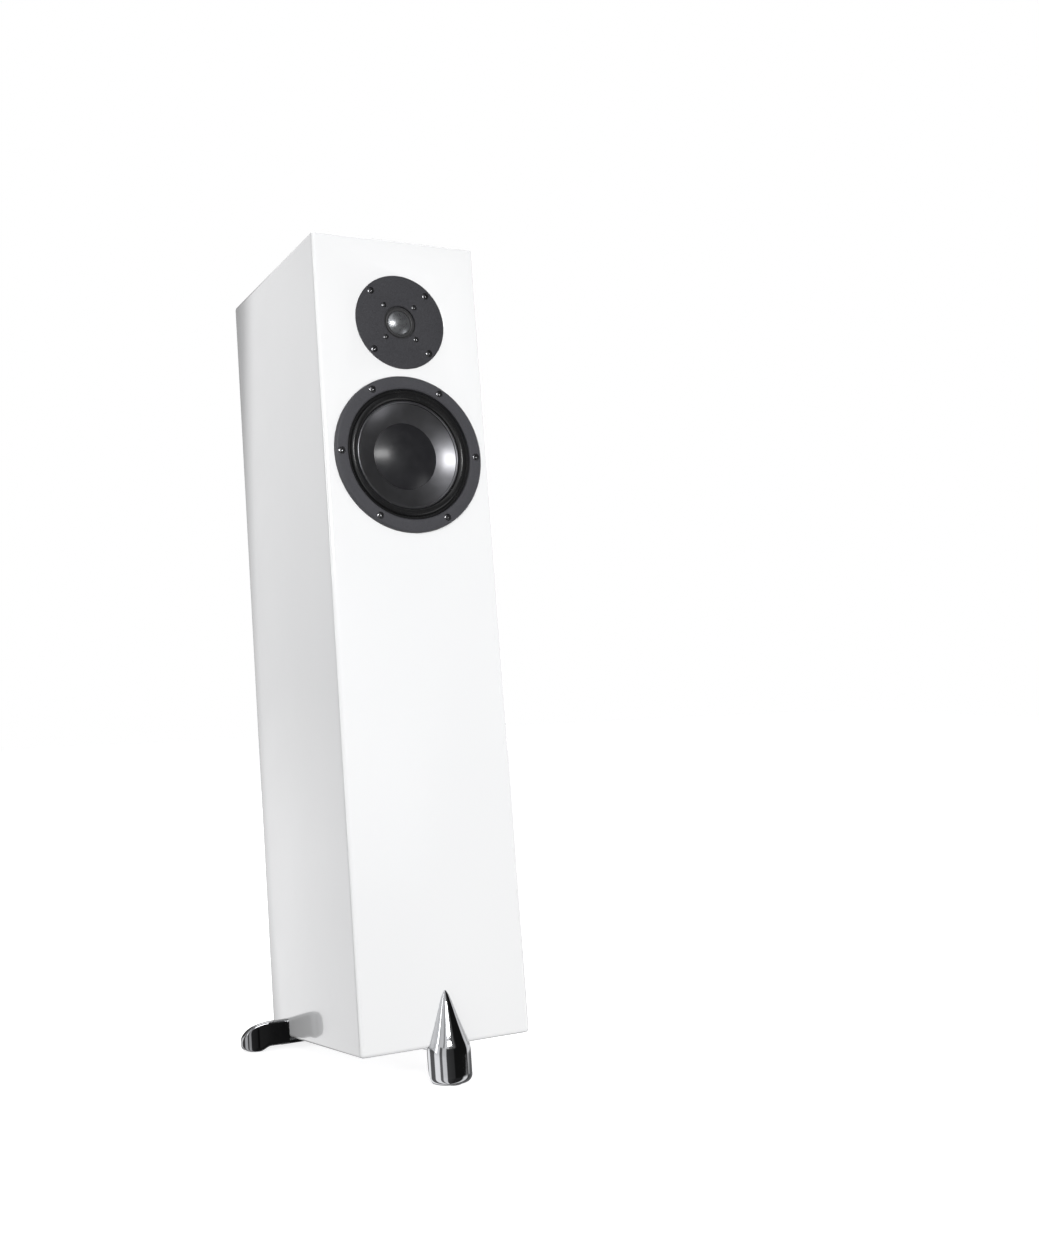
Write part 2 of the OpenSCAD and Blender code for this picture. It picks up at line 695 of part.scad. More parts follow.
module at_post(side, level) {
  place() back_at(plate_up + level * post_dz / 2, side * post_dx / 2) children();
}

module plate_screw_places() {
  for (sx = [-1, 1]) for (sz = [-1, 1])
    back_at(plate_up + sz * (plate_h / 2 - 6), sx * (plate_w / 2 - 6), cab_d) children();
}

module terminal_plate() place() color("black") difference() {
  back_at(plate_up, 0, cab_d) rounded_plate(plate_w, plate_h, 6, plate_t);
  for (sx = [-1, 1]) for (sz = [-1, 1])
    back_at(plate_up + sz * post_dz / 2, sx * post_dx / 2, cab_d - 1)
      cylinder(r = post_r + screw_gap, h = plate_t + 2);
  plate_screw_places() translate([0, 0, -1]) cylinder(r = plate_screw_r + screw_gap, h = plate_t + 2);
}

module terminal_plate_screws() place() color("silver") plate_screw_places() {
  translate([0, 0, 0.5 - plate_screw_l]) cylinder(r = plate_screw_r, h = plate_screw_l + plate_t - 0.5);
  translate([0, 0, plate_t]) cylinder(r1 = 3.2, r2 = 2.2, h = 1.8);
}

module all_posts() {
  for (side = [-1, 1]) for (level = [-1, 1]) at_post(side, level) children();
}

module terminal_posts() all_posts() color("gold") difference() {
  union() {
    translate([0, 0, cab_d - post_in]) cylinder(r = post_r, h = post_end - cab_d + post_in);
    translate([0, 0, cab_d + plate_t]) cylinder(r = knob_r - 0.5, h = collar_t);
  }
  translate([0, 0, post_end - socket_l]) cylinder(r = socket_r, h = socket_l + 1);
}

module terminal_nuts() all_posts() color("silver") translate([0, 0, cab_d - nut_t]) difference() {
  cylinder(r = nut_r, h = nut_t, $fn = 6);
  translate([0, 0, -1]) cylinder(r = post_r + run_gap, h = nut_t + 2);
}

module jumper_straps() for (side = [-1, 1]) place() color("gold") difference() {
  back_at(plate_up, side * post_dx / 2, collar_y)
    rounded_plate(strap_w, post_dz + strap_w, strap_w / 2 - eps, strap_t);
  for (level = [-1, 1])
    back_at(plate_up + level * post_dz / 2, side * post_dx / 2, collar_y - 1)
      cylinder(r = post_r + screw_gap, h = strap_t + 2);
}

module post_washer(side, level) at_post(side, level) color("silver") {
  ring(post_r + run_gap, knob_r - 1, collar_y + strap_t, knob_y);
}

grips = 18;
module post_knob(side, level, tint) at_post(side, level) color(tint) difference() {
  translate([0, 0, knob_y]) rotate_extrude() polygon([
    [post_r + run_gap, 0], [knob_r - 1, 0], [knob_r, 1], [knob_r, knob_l - 1.5], [knob_r - 1.5, knob_l],
    [post_r + run_gap, knob_l]
  ]);
  translate([0, 0, knob_y + 2.5]) around(grips, knob_r + 0.35) cylinder(r = 0.8, h = knob_l);
}

module washer_high_plus() post_washer(1, 1);
module washer_high_minus() post_washer(-1, 1);
module washer_low_plus() post_washer(1, -1);
module washer_low_minus() post_washer(-1, -1);
module knob_high_plus() post_knob(1, 1, "red");
module knob_high_minus() post_knob(-1, 1, "black");
module knob_low_plus() post_knob(1, -1, "red");
module knob_low_minus() post_knob(-1, -1, "black");

// Feet

insert_r = 5;
insert_l = 13;
bolt_head_r = 6;
claw_pad_y = -6;

module foot_bolt_places() {
  translate([0, claw_bolt_y, 0]) children();
  for (s = [-1, 1]) translate([s * horn_bolt_x, horn_y, 0]) children();
}

// All that lies under the floor, drawn in the cabinet's own frame, with the pads left proud
module below_floor() {
  translate([0, 0, floor_z(0)]) rotate([lean, 0, 0]) translate([-cab_w, -cab_d, pad_t - 100])
    cube([2 * cab_w, 3 * cab_d, 100]);
}

// A floor pad's place: the pad stands square on the floor
module pad_at(x, y) {
  translate([x, y, floor_z(y)]) rotate([lean, 0, 0]) children();
}

module bolt_hole() {
  translate([0, 0, -arm_t - 1]) cylinder(r = bolt_r + screw_gap, h = arm_t + 2);
  translate([0, 0, -arm_t - eps])
    cylinder(r1 = bolt_head_r + head_gap, r2 = bolt_r, h = bolt_head_r - bolt_r + head_gap);
}

// Half width of the claw at a share t of the way from its tip to the cabinet's bottom
function claw_at(t) = claw_r * (t + 0.04 * sin(180 * t) * (2 * t - 1));
function claw_line(steps) = [for (i = [0 : steps]) [claw_at(i / steps), claw_tip * (1 - i / steps)]];
function claw_foot(steps) = [
  for (i = [0 : steps]) let (a = 90 * i / steps)
    [claw_r - claw_edge + claw_edge * cos(a), claw_edge_z - claw_edge * sin(a)]
];

// Side outline of the front claw: in front of the face above, and reaching under the cabinet below
claw_side = [
  [-claw_r - 1, claw_tip + 1], [0, claw_tip + 1], [0, 0], [claw_back, 0],
  [claw_back - 2, -20], [0, -34], [-2, -50], [-claw_r - 1, -50]
];

module front_foot() place() color("silver") difference() {
  union() {
    intersection() {
      rotate_extrude() polygon(concat(claw_line(12), claw_foot(8), [[0, claw_edge_z - claw_edge]]));
      translate([-claw_r - 1, 0, 0]) rotate([90, 0, 90]) linear_extrude(2 * claw_r + 2) polygon(claw_side);
    }
    translate([-claw_arm_w / 2, 0, -arm_t]) cube([claw_arm_w, claw_arm_l, arm_t]);
  }
  below_floor();
  pad_at(0, claw_pad_y) cylinder(r = pad_r + screw_gap, h = pad_t + pad_sunk);
  translate([0, claw_bolt_y, 0]) bolt_hole();
}

// Side claw, drawn for the right side: x runs out from the cabinet's side, z up from its bottom
horn_under = -8;
horn_side = [
  [horn_arm_in - cab_w / 2, 0], [0, 0], [0, horn_top], [0.2 * horn_reach, horn_top + 0.3],
  [0.4 * horn_reach, horn_top - 1.8], [0.6 * horn_reach, horn_top - 4.8], [0.77 * horn_reach, horn_top - 9],
  [0.9 * horn_reach, horn_top - 14.5], [0.98 * horn_reach, horn_top - 21], [horn_reach, horn_top - 27],
  [0.97 * horn_reach, horn_top - 36], [toe_x - 5.5, horn_top - 36], [toe_x - 8, horn_under - 1.2],
  [toe_x - 12, horn_under + 0.4], [0.3 * horn_reach, -arm_t], [horn_arm_in - cab_w / 2, -arm_t]
];
horn_tip_w = 19;
horn_plan = [
  [horn_arm_in - cab_w / 2, -horn_w / 2], [0.35 * horn_reach, -horn_w / 2],
  [0.75 * horn_reach, -horn_w / 2 + 2.5], [0.93 * horn_reach, -horn_tip_w / 2],
  [horn_reach + 1, -horn_tip_w / 4], [horn_reach + 1, horn_tip_w / 4],
  [0.93 * horn_reach, horn_tip_w / 2], [0.75 * horn_reach, horn_w / 2 - 2.5], [0.35 * horn_reach, horn_w / 2],
  [horn_arm_in - cab_w / 2, horn_w / 2]
];
horn_cut_r = 27;                            // rounding across the horn's back

module side_foot() difference() {
  translate([cab_w / 2, horn_y, 0]) intersection() {
    translate([0, horn_w / 2 + 1, 0]) rotate([90, 0, 0]) linear_extrude(horn_w + 2) polygon(horn_side);
    translate([0, 0, -40]) linear_extrude(80) polygon(horn_plan);
    translate([horn_arm_in - cab_w / 2 - 1, 0, horn_top - horn_cut_r]) rotate([0, 90, 0])
      cylinder(r = horn_cut_r + 0.3, h = horn_reach + 60);
  }
  below_floor();
  pad_at(cab_w / 2 + toe_x, horn_y) cylinder(r = toe_pad_r + screw_gap, h = pad_t + pad_sunk);
  translate([horn_bolt_x, horn_y, 0]) bolt_hole();
}

module right_foot() place() color("silver") side_foot();

module left_foot() place() color("silver") mirror([1, 0, 0]) side_foot();

module foot_fixings() place() {
  color("gray") foot_bolt_places() translate([0, 0, -arm_t + head_sunk]) {
    cylinder(r1 = bolt_head_r, r2 = bolt_r, h = bolt_head_r - bolt_r);
    cylinder(r = bolt_r, h = arm_t + insert_l - 2);
  }
  color("gold") foot_bolt_places() difference() {
    translate([0, 0, eps]) cylinder(r = insert_r, h = insert_l - 2 * eps);
    translate([0, 0, -1]) cylinder(r = bolt_r + screw_gap, h = insert_l + 2);
  }
}

module foot_pads() place() color("black") {
  pad_at(0, claw_pad_y) cylinder(r = pad_r, h = pad_t + pad_sunk);
  for (s = [-1, 1]) pad_at(s * (cab_w / 2 + toe_x), horn_y) cylinder(r = toe_pad_r, h = pad_t + pad_sunk);
}

front_baffle();
rear_panel();
left_side_panel();
right_side_panel();
top_panel();
bottom_panel();
braces();
felt_lining();
port_tube();
tweeter_faceplate();
tweeter_outer_screws();
tweeter_inner_screws();
tweeter_front_plate();
tweeter_magnet();
tweeter_back_plate();
tweeter_rear_chamber();
tweeter_tabs();
tweeter_dome();
tweeter_surround();
tweeter_coil();
woofer_basket();
woofer_screws();
woofer_surround();
woofer_cone();
woofer_dust_cap();
woofer_coil_former();
woofer_coil();
woofer_spider();
woofer_magnet();
woofer_pole_plate();
woofer_pot();
woofer_terminals();
tinsel_leads();
driver_gaskets();
terminal_plate();
terminal_plate_screws();
terminal_posts();
terminal_nuts();
jumper_straps();
knob_high_plus();
knob_high_minus();
knob_low_plus();
knob_low_minus();
washer_high_plus();
washer_high_minus();
washer_low_plus();
washer_low_minus();
crossover_board();
inductors();
capacitors();
resistors();
board_fixings();
input_leads();
driver_leads();
front_foot();
left_foot();
right_foot();
foot_fixings();
foot_pads();
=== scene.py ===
import json
import math
import bmesh
import bpy
from mathutils import Matrix, Vector


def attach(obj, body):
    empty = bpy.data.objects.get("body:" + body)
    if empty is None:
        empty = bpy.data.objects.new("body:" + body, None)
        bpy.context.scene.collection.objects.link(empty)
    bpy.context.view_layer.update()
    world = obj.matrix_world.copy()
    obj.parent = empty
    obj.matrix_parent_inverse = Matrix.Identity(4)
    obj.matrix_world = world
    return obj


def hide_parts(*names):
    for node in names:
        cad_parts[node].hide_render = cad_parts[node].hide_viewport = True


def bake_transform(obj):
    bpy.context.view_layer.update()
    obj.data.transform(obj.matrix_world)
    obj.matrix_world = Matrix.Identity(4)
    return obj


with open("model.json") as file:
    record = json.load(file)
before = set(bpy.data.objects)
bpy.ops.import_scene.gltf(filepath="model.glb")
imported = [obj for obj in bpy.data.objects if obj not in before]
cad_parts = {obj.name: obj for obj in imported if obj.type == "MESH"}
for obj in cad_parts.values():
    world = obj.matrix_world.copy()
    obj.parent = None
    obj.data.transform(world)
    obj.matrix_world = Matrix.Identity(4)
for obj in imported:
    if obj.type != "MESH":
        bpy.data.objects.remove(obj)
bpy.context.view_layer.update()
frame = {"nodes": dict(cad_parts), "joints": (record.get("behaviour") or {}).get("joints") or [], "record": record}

mm = 0.001
# the cabinet's own frame, in millimetres: x right, y back from the front face, z up from its bottom
travelAxis = Vector(next(j["axis"] for j in frame["joints"] if j["name"] == "woofer_travel"))
lean = math.atan2(-travelAxis.z, travelAxis.y)
tilt = Matrix.Rotation(-lean, 4, "X")


def cornersIn(node, matrix):                       # a node's box in another frame, in millimetres
    points = [(matrix @ v.co) * 1000 for v in frame["nodes"][node].data.vertices]
    low = Vector([min(p[i] for p in points) for i in range(3)])
    high = Vector([max(p[i] for p in points) for i in range(3)])
    return low, high


faceY = cornersIn("front_baffle", tilt.inverted())[0].y
bottomZ = cornersIn("bottom_panel", tilt.inverted())[0].z
toPart = tilt @ Matrix.Translation((0, faceY * mm, bottomZ * mm))
toCabinet = toPart.inverted()


def localBox(node):
    return cornersIn(node, toCabinet)


def middle(node):
    low, high = localBox(node)
    return (low + high) / 2


cabinet = {
    "half": localBox("front_baffle")[1].x,
    "deep": localBox("rear_panel")[1].y,
    "high": localBox("front_baffle")[1].z,
    "lift": (toPart @ Vector((0, 0, 0))).z * 1000,
}
tweeterUp = middle("tweeter_magnet").z
wooferUp = middle("woofer_magnet").z


def floorLine(y):                                  # the floor's height under y, in the cabinet's frame
    return (y * math.sin(lean) - cabinet["lift"]) / math.cos(lean)


cameraSet = {
    "place": (-0.6796, -1.5586, 0.4481),           # metres
    "heading": 29.08,                              # degrees to the right of straight ahead
    "rise": 0.88,
    "roll": -1.09,
    "lens": 42.52,
}


def makeCamera(p):
    heading, rise = math.radians(p["heading"]), math.radians(p["rise"])
    ahead = Vector((math.sin(heading) * math.cos(rise), math.cos(heading) * math.cos(rise), math.sin(rise)))
    cam = bpy.data.objects.new("studioCamera", bpy.data.cameras.new("studioCamera"))
    bpy.context.scene.collection.objects.link(cam)
    turn = ahead.to_track_quat("-Z", "Y").to_matrix().to_4x4()
    roll = Matrix.Rotation(math.radians(p["roll"]), 4, "Z")
    cam.matrix_world = Matrix.Translation(p["place"]) @ turn @ roll
    cam.data.lens = p["lens"]
    cam.data.clip_start, cam.data.clip_end = 0.05, 60
    bpy.context.scene.camera = cam


makeCamera(cameraSet)


class Wire:                                        # one socket, so that shader sums read as sums
    def __init__(self, paint, socket):
        self.paint, self.socket = paint, socket

    def sum(self, operation, *terms):
        return self.paint.add("ShaderNodeMath", {"operation": operation}, dict(enumerate(terms)))

    def __add__(self, other): return self.sum("ADD", self, other)
    def __radd__(self, other): return self.sum("ADD", other, self)
    def __sub__(self, other): return self.sum("SUBTRACT", self, other)
    def __rsub__(self, other): return self.sum("SUBTRACT", other, self)
    def __mul__(self, other): return self.sum("MULTIPLY", self, other)
    def __rmul__(self, other): return self.sum("MULTIPLY", other, self)
    def __truediv__(self, other): return self.sum("DIVIDE", self, other)
    def __rtruediv__(self, other): return self.sum("DIVIDE", other, self)


class Paint:
    def __init__(self, name, rough=0.5, metal=0.0, coat=0.0, **fixed):
        self.material = bpy.data.materials.new(name)
        self.material.use_nodes = True
        self.tree = self.material.node_tree
        self.shader = self.tree.nodes["Principled BSDF"]
        for socket, value in {"Roughness": rough, "Metallic": metal, "Coat Weight": coat, **fixed}.items():
            self.shader.inputs[socket].default_value = value

    def add(self, kind, settings=None, inputs=None, take=0):
        node = self.tree.nodes.new(kind)
        for key, value in (settings or {}).items():
            if key == "stops":                     # a ramp's stops: (place, colour)
                self.setStops(node.color_ramp, value)
            else:
                setattr(node, key, value)
        for key, value in (inputs or {}).items():
            socket = node.inputs[key]
            if isinstance(value, Wire):
                self.tree.links.new(value.socket, socket)
            else:
                socket.default_value = value
        return Wire(self, node.outputs[take])

    def setStops(self, ramp, stops):
        while len(ramp.elements) < len(stops):
            ramp.elements.new(0.5)
        for element, (place, colour) in zip(ramp.elements, stops):
            element.position = place
            element.color = (*colour, 1) if len(colour) == 3 else colour

    def feed(self, socket, wire):
        self.tree.links.new(wire.socket, self.shader.inputs[socket])

    def where(self):                               # places on the piece itself, in metres
        return self.add("ShaderNodeTexCoord", take="Object")

    def noise(self, size, detail=3.0, rough=0.5, stretch=None):
        place = self.where()
        if stretch:
            place = self.add("ShaderNodeMapping", {}, {"Vector": place, "Scale": stretch})
        return self.add("ShaderNodeTexNoise", {}, {"Vector": place, "Scale": 1 / size, "Detail": detail,
                                                    "Roughness": rough})

    def cells(self, size):
        return self.add("ShaderNodeTexVoronoi", {}, {"Vector": self.where(), "Scale": 1 / size})

    def blend(self, share, a, b):
        # colours are Mix inputs 6 and 7, and the colour result is output 2
        return self.add("ShaderNodeMix", {"data_type": "RGBA"}, {0: share, 6: a, 7: b}, take=2)

    def spread(self, wire, low, high, fromLow=0.0, fromHigh=1.0):
        return self.add("ShaderNodeMapRange", {}, {"Value": wire, "From Min": fromLow, "From Max": fromHigh,
                                                    "To Min": low, "To Max": high})

    def bump(self, height, depth, strength=1.0):
        return self.add("ShaderNodeBump", {}, {"Height": height, "Distance": depth, "Strength": strength})


def shade(grey, tint=(1, 1, 1)):
    return (grey * tint[0], grey * tint[1], grey * tint[2], 1)


def lacquerWhite():
    p = Paint("lacquerWhite", rough=0.16, coat=1.0, **{"Coat Roughness": 0.025, "Coat IOR": 1.6, "IOR": 1.5})
    cloud = p.noise(0.35, detail=2)
    share = p.spread(cloud, 0, 1, 0.35, 0.65)
    p.feed("Base Color", p.blend(share, (0.89, 0.895, 0.9, 1), (0.915, 0.918, 0.92, 1)))
    p.feed("Roughness", p.spread(p.noise(0.05), 0.13, 0.2, 0.3, 0.7))
    peel = p.noise(0.006, detail=1.5)
    p.feed("Normal", p.bump(peel, 0.00002, 0.25))
    return p.material


def powderCharcoal(name="powderCharcoal", grey=0.057, grain=0.00055, depth=0.00006, rough=0.5):
    p = Paint(name, rough=rough, **{"Specular IOR Level": 0.42})
    speck = p.noise(grain, detail=2, rough=0.7)
    low, high = shade(grey * 0.72, (1, 1, 1.1)), shade(grey * 1.3, (1, 1, 1.12))
    p.feed("Base Color", p.blend(p.spread(speck, 0, 1, 0.35, 0.65), low, high))
    p.feed("Roughness", p.spread(p.noise(0.02), rough - 0.06, rough + 0.08, 0.3, 0.7))
    pits = p.cells(grain * 1.6)
    p.feed("Normal", p.bump(speck + pits * 0.5, depth, 0.7))
    return p.material


def coneGloss(name="coneGloss", grey=0.22):
    p = Paint(name, rough=0.3, metal=0.9, coat=0.5, **{"Coat Roughness": 0.2})
    smear = p.noise(0.012, detail=3)
    p.feed("Base Color", p.blend(smear, shade(grey * 0.9, (1, 1, 1.05)), shade(grey * 1.1, (1, 1, 1.07))))
    p.feed("Roughness", p.spread(smear, 0.28, 0.34, 0.3, 0.7))
    p.feed("Normal", p.bump(p.noise(0.0007, detail=2), 0.00002, 0.4))
    return p.material


def capSatin():
    p = Paint("capSatin", rough=0.32, coat=0.35, **{"Coat Roughness": 0.22, "Specular IOR Level": 0.5})
    smear = p.noise(0.01, detail=3)
    p.feed("Base Color", p.blend(smear, shade(0.014, (1, 1, 1.12)), shade(0.022, (1, 1, 1.12))))
    p.feed("Roughness", p.spread(smear, 0.28, 0.38, 0.3, 0.7))
    p.feed("Normal", p.bump(p.noise(0.0006, detail=2), 0.00002, 0.3))
    return p.material


def rubberBlack(name="rubberBlack", grey=0.014, rough=0.27):
    p = Paint(name, rough=rough, **{"Specular IOR Level": 0.5})
    dust = p.noise(0.015, detail=2)
    p.feed("Base Color", p.blend(dust, shade(grey * 0.9), shade(grey * 1.25, (1, 1, 1.05))))
    p.feed("Roughness", p.spread(dust, rough - 0.03, rough + 0.04, 0.3, 0.7))
    p.feed("Normal", p.bump(p.noise(0.0004, detail=2), 0.00001, 0.3))
    return p.material


def domeSilver():
    p = Paint("domeSilver", rough=0.3, metal=0.85)
    cloud = p.noise(0.004, detail=3)
    p.feed("Base Color", p.blend(cloud, (0.3, 0.31, 0.325, 1), (0.46, 0.47, 0.485, 1)))
    p.feed("Roughness", p.spread(cloud, 0.24, 0.36, 0.3, 0.7))
    p.feed("Normal", p.bump(p.cells(0.0006), 0.00001, 0.5))
    return p.material


def chromeMirror(name="chromeMirror", grey=0.56):
    p = Paint(name, rough=0.045, metal=1.0)
    haze = p.noise(0.008, detail=4)
    low, high = shade(grey * 0.94, (1, 1.01, 1.04)), shade(grey * 1.05, (1, 1.01, 1.03))
    p.feed("Base Color", p.blend(haze, low, high))
    wipe = p.noise(0.0016, detail=3, stretch=(1, 1, 0.06))
    p.feed("Roughness", p.spread(wipe, 0.02, 0.085, 0.35, 0.7))
    p.feed("Normal", p.bump(p.noise(0.014, detail=2), 0.00012, 0.35))
    return p.material


def plainMetal(name, colour, rough=0.3, grain=0.0006, brushed=(1, 1, 1)):
    p = Paint(name, rough=rough, metal=1.0)
    streak = p.noise(grain, detail=3, stretch=brushed)
    dark = tuple(0.8 * c for c in colour) + (1,)
    p.feed("Base Color", p.blend(streak, dark, (*colour, 1)))
    p.feed("Roughness", p.spread(streak, rough * 0.75, rough * 1.3, 0.3, 0.7))
    p.feed("Normal", p.bump(streak, 0.00001, 0.4))
    return p.material


def plainPlastic(name, colour, rough=0.4, grain=0.0009, coat=0.0, depth=0.00002):
    p = Paint(name, rough=rough, coat=coat)
    speck = p.noise(grain, detail=2)
    dark = tuple(0.85 * c for c in colour) + (1,)
    p.feed("Base Color", p.blend(speck, dark, (*colour, 1)))
    p.feed("Roughness", p.spread(p.noise(grain * 12), rough * 0.85, rough * 1.2, 0.3, 0.7))
    p.feed("Normal", p.bump(speck, depth, 0.5))
    return p.material


def feltGrey():
    p = Paint("feltGrey", rough=0.95, **{"Sheen Weight": 0.3})
    hair = p.noise(0.0015, detail=6, rough=0.7, stretch=(1, 3, 1))
    p.feed("Base Color", p.blend(hair, (0.06, 0.06, 0.065, 1), (0.16, 0.16, 0.17, 1)))
    p.feed("Normal", p.bump(hair, 0.0008, 0.8))
    return p.material


def rawBoard():
    p = Paint("rawBoard", rough=0.85)
    fibre = p.noise(0.002, detail=5, stretch=(1, 1, 2))
    p.feed("Base Color", p.blend(fibre, (0.3, 0.2, 0.12, 1), (0.46, 0.34, 0.22, 1)))
    p.feed("Normal", p.bump(fibre, 0.0002, 0.5))
    return p.material


def windingCopper():
    p = Paint("windingCopper", rough=0.3, metal=1.0, coat=0.4)
    turns = p.add("ShaderNodeTexWave", {"bands_direction": "Z"}, {"Vector": p.where(), "Scale": 300.0,
                                                                 "Distortion": 0.6})
    p.feed("Base Color", p.blend(turns, (0.42, 0.17, 0.07, 1), (0.78, 0.4, 0.2, 1)))
    p.feed("Normal", p.bump(turns, 0.0002, 0.7))
    return p.material


def spiderCloth():
    p = Paint("spiderCloth", rough=0.8)
    weave = p.cells(0.0007)
    p.feed("Base Color", p.blend(weave, (0.42, 0.3, 0.1, 1), (0.66, 0.52, 0.22, 1)))
    p.feed("Normal", p.bump(weave, 0.0002, 0.7))
    return p.material


finishes = {
    "lacquer": lacquerWhite(),
    "raw_board": rawBoard(),
    "felt": feltGrey(),
    "port_plastic": plainPlastic("portBlack", (0.02, 0.02, 0.022), rough=0.42),
    "faceplate_black": powderCharcoal("faceplateCharcoal", grey=0.043, grain=0.0009, depth=0.0001, rough=0.5),
    "screw_steel": plainMetal("screwSteel", (0.6, 0.6, 0.62), rough=0.26),
    "motor_steel": plainMetal("motorSteel", (0.5, 0.5, 0.5), rough=0.4),
    "magnet": plainPlastic("ferriteGrey", (0.05, 0.05, 0.052), rough=0.7),
    "gold": plainMetal("goldPlate", (0.86, 0.6, 0.25), rough=0.2),
    "dome_metal": domeSilver(),
    "rubber_black": rubberBlack(),
    "tweeter_ring": rubberBlack("treatedCloth", grey=0.04, rough=0.45),
    "woofer_ring": rubberBlack("glossRubber", grey=0.012, rough=0.24),
    "copper": windingCopper(),
    "frame_paint": powderCharcoal(),
    "cone_black": coneGloss(),
    "cap_black": capSatin(),
    "former": plainMetal("formerFoil", (0.7, 0.7, 0.68), rough=0.35),
    "spider_cloth": spiderCloth(),
    "terminal_block": plainPlastic("paperBoard", (0.2, 0.09, 0.035), rough=0.6),
    "gasket_foam": plainPlastic("gasketFoam", (0.03, 0.03, 0.03), rough=0.9, depth=0.0003),
    "terminal_plastic": plainPlastic("plateBlack", (0.022, 0.022, 0.024), rough=0.45, depth=0.00005),
    "knob_red": plainPlastic("knobRed", (0.5, 0.012, 0.012), rough=0.25, coat=0.5),
    "knob_black": plainPlastic("knobBlack", (0.015, 0.015, 0.016), rough=0.25, coat=0.5),
    "washer_metal": plainMetal("washerGold", (0.82, 0.6, 0.28), rough=0.25),
    "circuit_board": plainPlastic("solderMask", (0.03, 0.16, 0.07), rough=0.35, coat=0.3),
    "capacitor_film": plainPlastic("capacitorFilm", (0.6, 0.45, 0.08), rough=0.3),
    "resistor_ceramic": plainPlastic("resistorCement", (0.75, 0.73, 0.68), rough=0.85),
    "fixing_nylon": plainPlastic("nylonWhite", (0.8, 0.8, 0.77), rough=0.5),
    "lead_black": plainPlastic("leadBlack", (0.02, 0.02, 0.02), rough=0.5),
    "lead_grey": plainPlastic("leadGrey", (0.12, 0.12, 0.13), rough=0.5),
    "chrome": chromeMirror(),
    # a darker copy of the same chrome for the side horns: painted shade, so they mirror less light than the front
    # claw
    "chrome_side_painted_shade": chromeMirror("sideChromePaintedShade", grey=0.26),
    "pad_rubber": rubberBlack("padRubber", grey=0.03, rough=0.7),
}
slotOf = {s["node"]: s["material_slot"] for s in frame["record"]["subparts"]}
for node, piece in frame["nodes"].items():
    piece.data.materials.clear()
    piece.data.materials.append(finishes[slotOf[node]])
print("finishes made:", len(finishes))


# pieces are drawn in millimetres, y running back from the front
def meshFrom(name, points, faces):
    mesh = bpy.data.meshes.new(name)
    mesh.from_pydata([tuple(Vector(p) * mm) for p in points], [], faces)
    tidied(mesh)
    piece = bpy.data.objects.new(name, mesh)
    bpy.context.scene.collection.objects.link(piece)
    return piece


def tidied(mesh):                                  # doubled points merged, empty faces gone, faces outwards
    shape = bmesh.new()
    shape.from_mesh(mesh)
    bmesh.ops.remove_doubles(shape, verts=shape.verts, dist=1e-7)
    bmesh.ops.dissolve_degenerate(shape, edges=shape.edges, dist=1e-7)
    bmesh.ops.recalc_face_normals(shape, faces=shape.faces)
    shape.to_mesh(mesh)
    shape.free()


def softEdges(piece, angle=35):                    # smooth, with true edges kept sharp
    piece.data.shade_smooth()
    piece.data.set_sharp_from_angle(angle=math.radians(angle))
    return piece


def rounded(corners, steps=5):                     # an outline of (radius, depth, rounding), rounded
    out = []
    for i, corner in enumerate(corners):
        here, fillet = Vector(corner[:2]), (corner[2] if len(corner) > 2 else 0)
        if not fillet:
            out.append(tuple(here))
            continue
        before = (Vector(corners[i - 1][:2]) - here).normalized()
        after = (Vector(corners[(i + 1) % len(corners)][:2]) - here).normalized()
        half = before.angle(after) / 2
        centre = here + (before + after).normalized() * fillet / math.sin(half)
        start = here + before * fillet / math.tan(half) - centre
        end = here + after * fillet / math.tan(half) - centre
        swing = math.atan2(start.x * end.y - start.y * end.x, start.dot(end))
        for k in range(steps + 1):
            turn = Matrix.Rotation(swing * k / steps, 2)
            out.append(tuple(centre + turn @ start))
    return out


def lathe(name, outline, turns=192, first=0.0, span=360.0, radiusAt=None):
    # a closed outline of (radius, depth) swung about the y axis
    whole = span > 359.9
    columns = turns if whole else turns + 1
    points, rows = [], []
    for radius, depth in outline:
        row = []
        for k in range(columns if radius > 1e-6 else 1):
            a = math.radians(first + span * k / turns)
            r = radiusAt(radius, depth, a) if radiusAt else radius
            points.append((r * math.cos(a), depth, r * math.sin(a)))
            row.append(len(points) - 1)
        rows.append(row if len(row) > 1 else row * columns)
    faces = []
    for lower, upper in zip(rows, rows[1:] + rows[:1]):
        for k in range(turns):
            n = (k + 1) % columns
            ring = list(dict.fromkeys([lower[k], lower[n], upper[n], upper[k]]))
            if len(ring) > 2:
                faces.append(ring)
    if not whole:
        faces += [[row[0] for row in rows][::-1], [row[-1] for row in rows]]
    return meshFrom(name, points, faces)


def archOver(middle, depth, wide, high, steps):    # half an ellipse that bulges to the front
    turns = [math.pi * k / steps for k in range(steps + 1)]
    return [(middle - wide * math.cos(a), depth - high * math.sin(a)) for a in turns]


def ballCap(radius, base, high, thin, steps):      # from the axis to the rim, set in by its thickness
    ball = (radius ** 2 + high ** 2) / (2 * high)
    swing = math.asin(radius / ball)
    turns = [swing * i / steps for i in range(steps + 1)]
    return [((ball - thin) * math.sin(a), base - high + ball - (ball - thin) * math.cos(a)) for a in turns]


def drill(name, radius, y0, y1, turns=64):         # a plain round cutter
    return lathe(name, [(0, y0), (radius, y0), (radius, y1), (0, y1)], turns)


def loft(name, sections):                          # a skin over loops with the same number of points, capped
    size = len(sections[0])
    points = [p for loop in sections for p in loop]
    faces = [[i * size + k, i * size + (k + 1) % size, (i + 1) * size + (k + 1) % size, (i + 1) * size + k]
             for i in range(len(sections) - 1) for k in range(size)]
    faces += [list(range(size))[::-1], [len(points) - size + k for k in range(size)]]
    return meshFrom(name, points, faces)


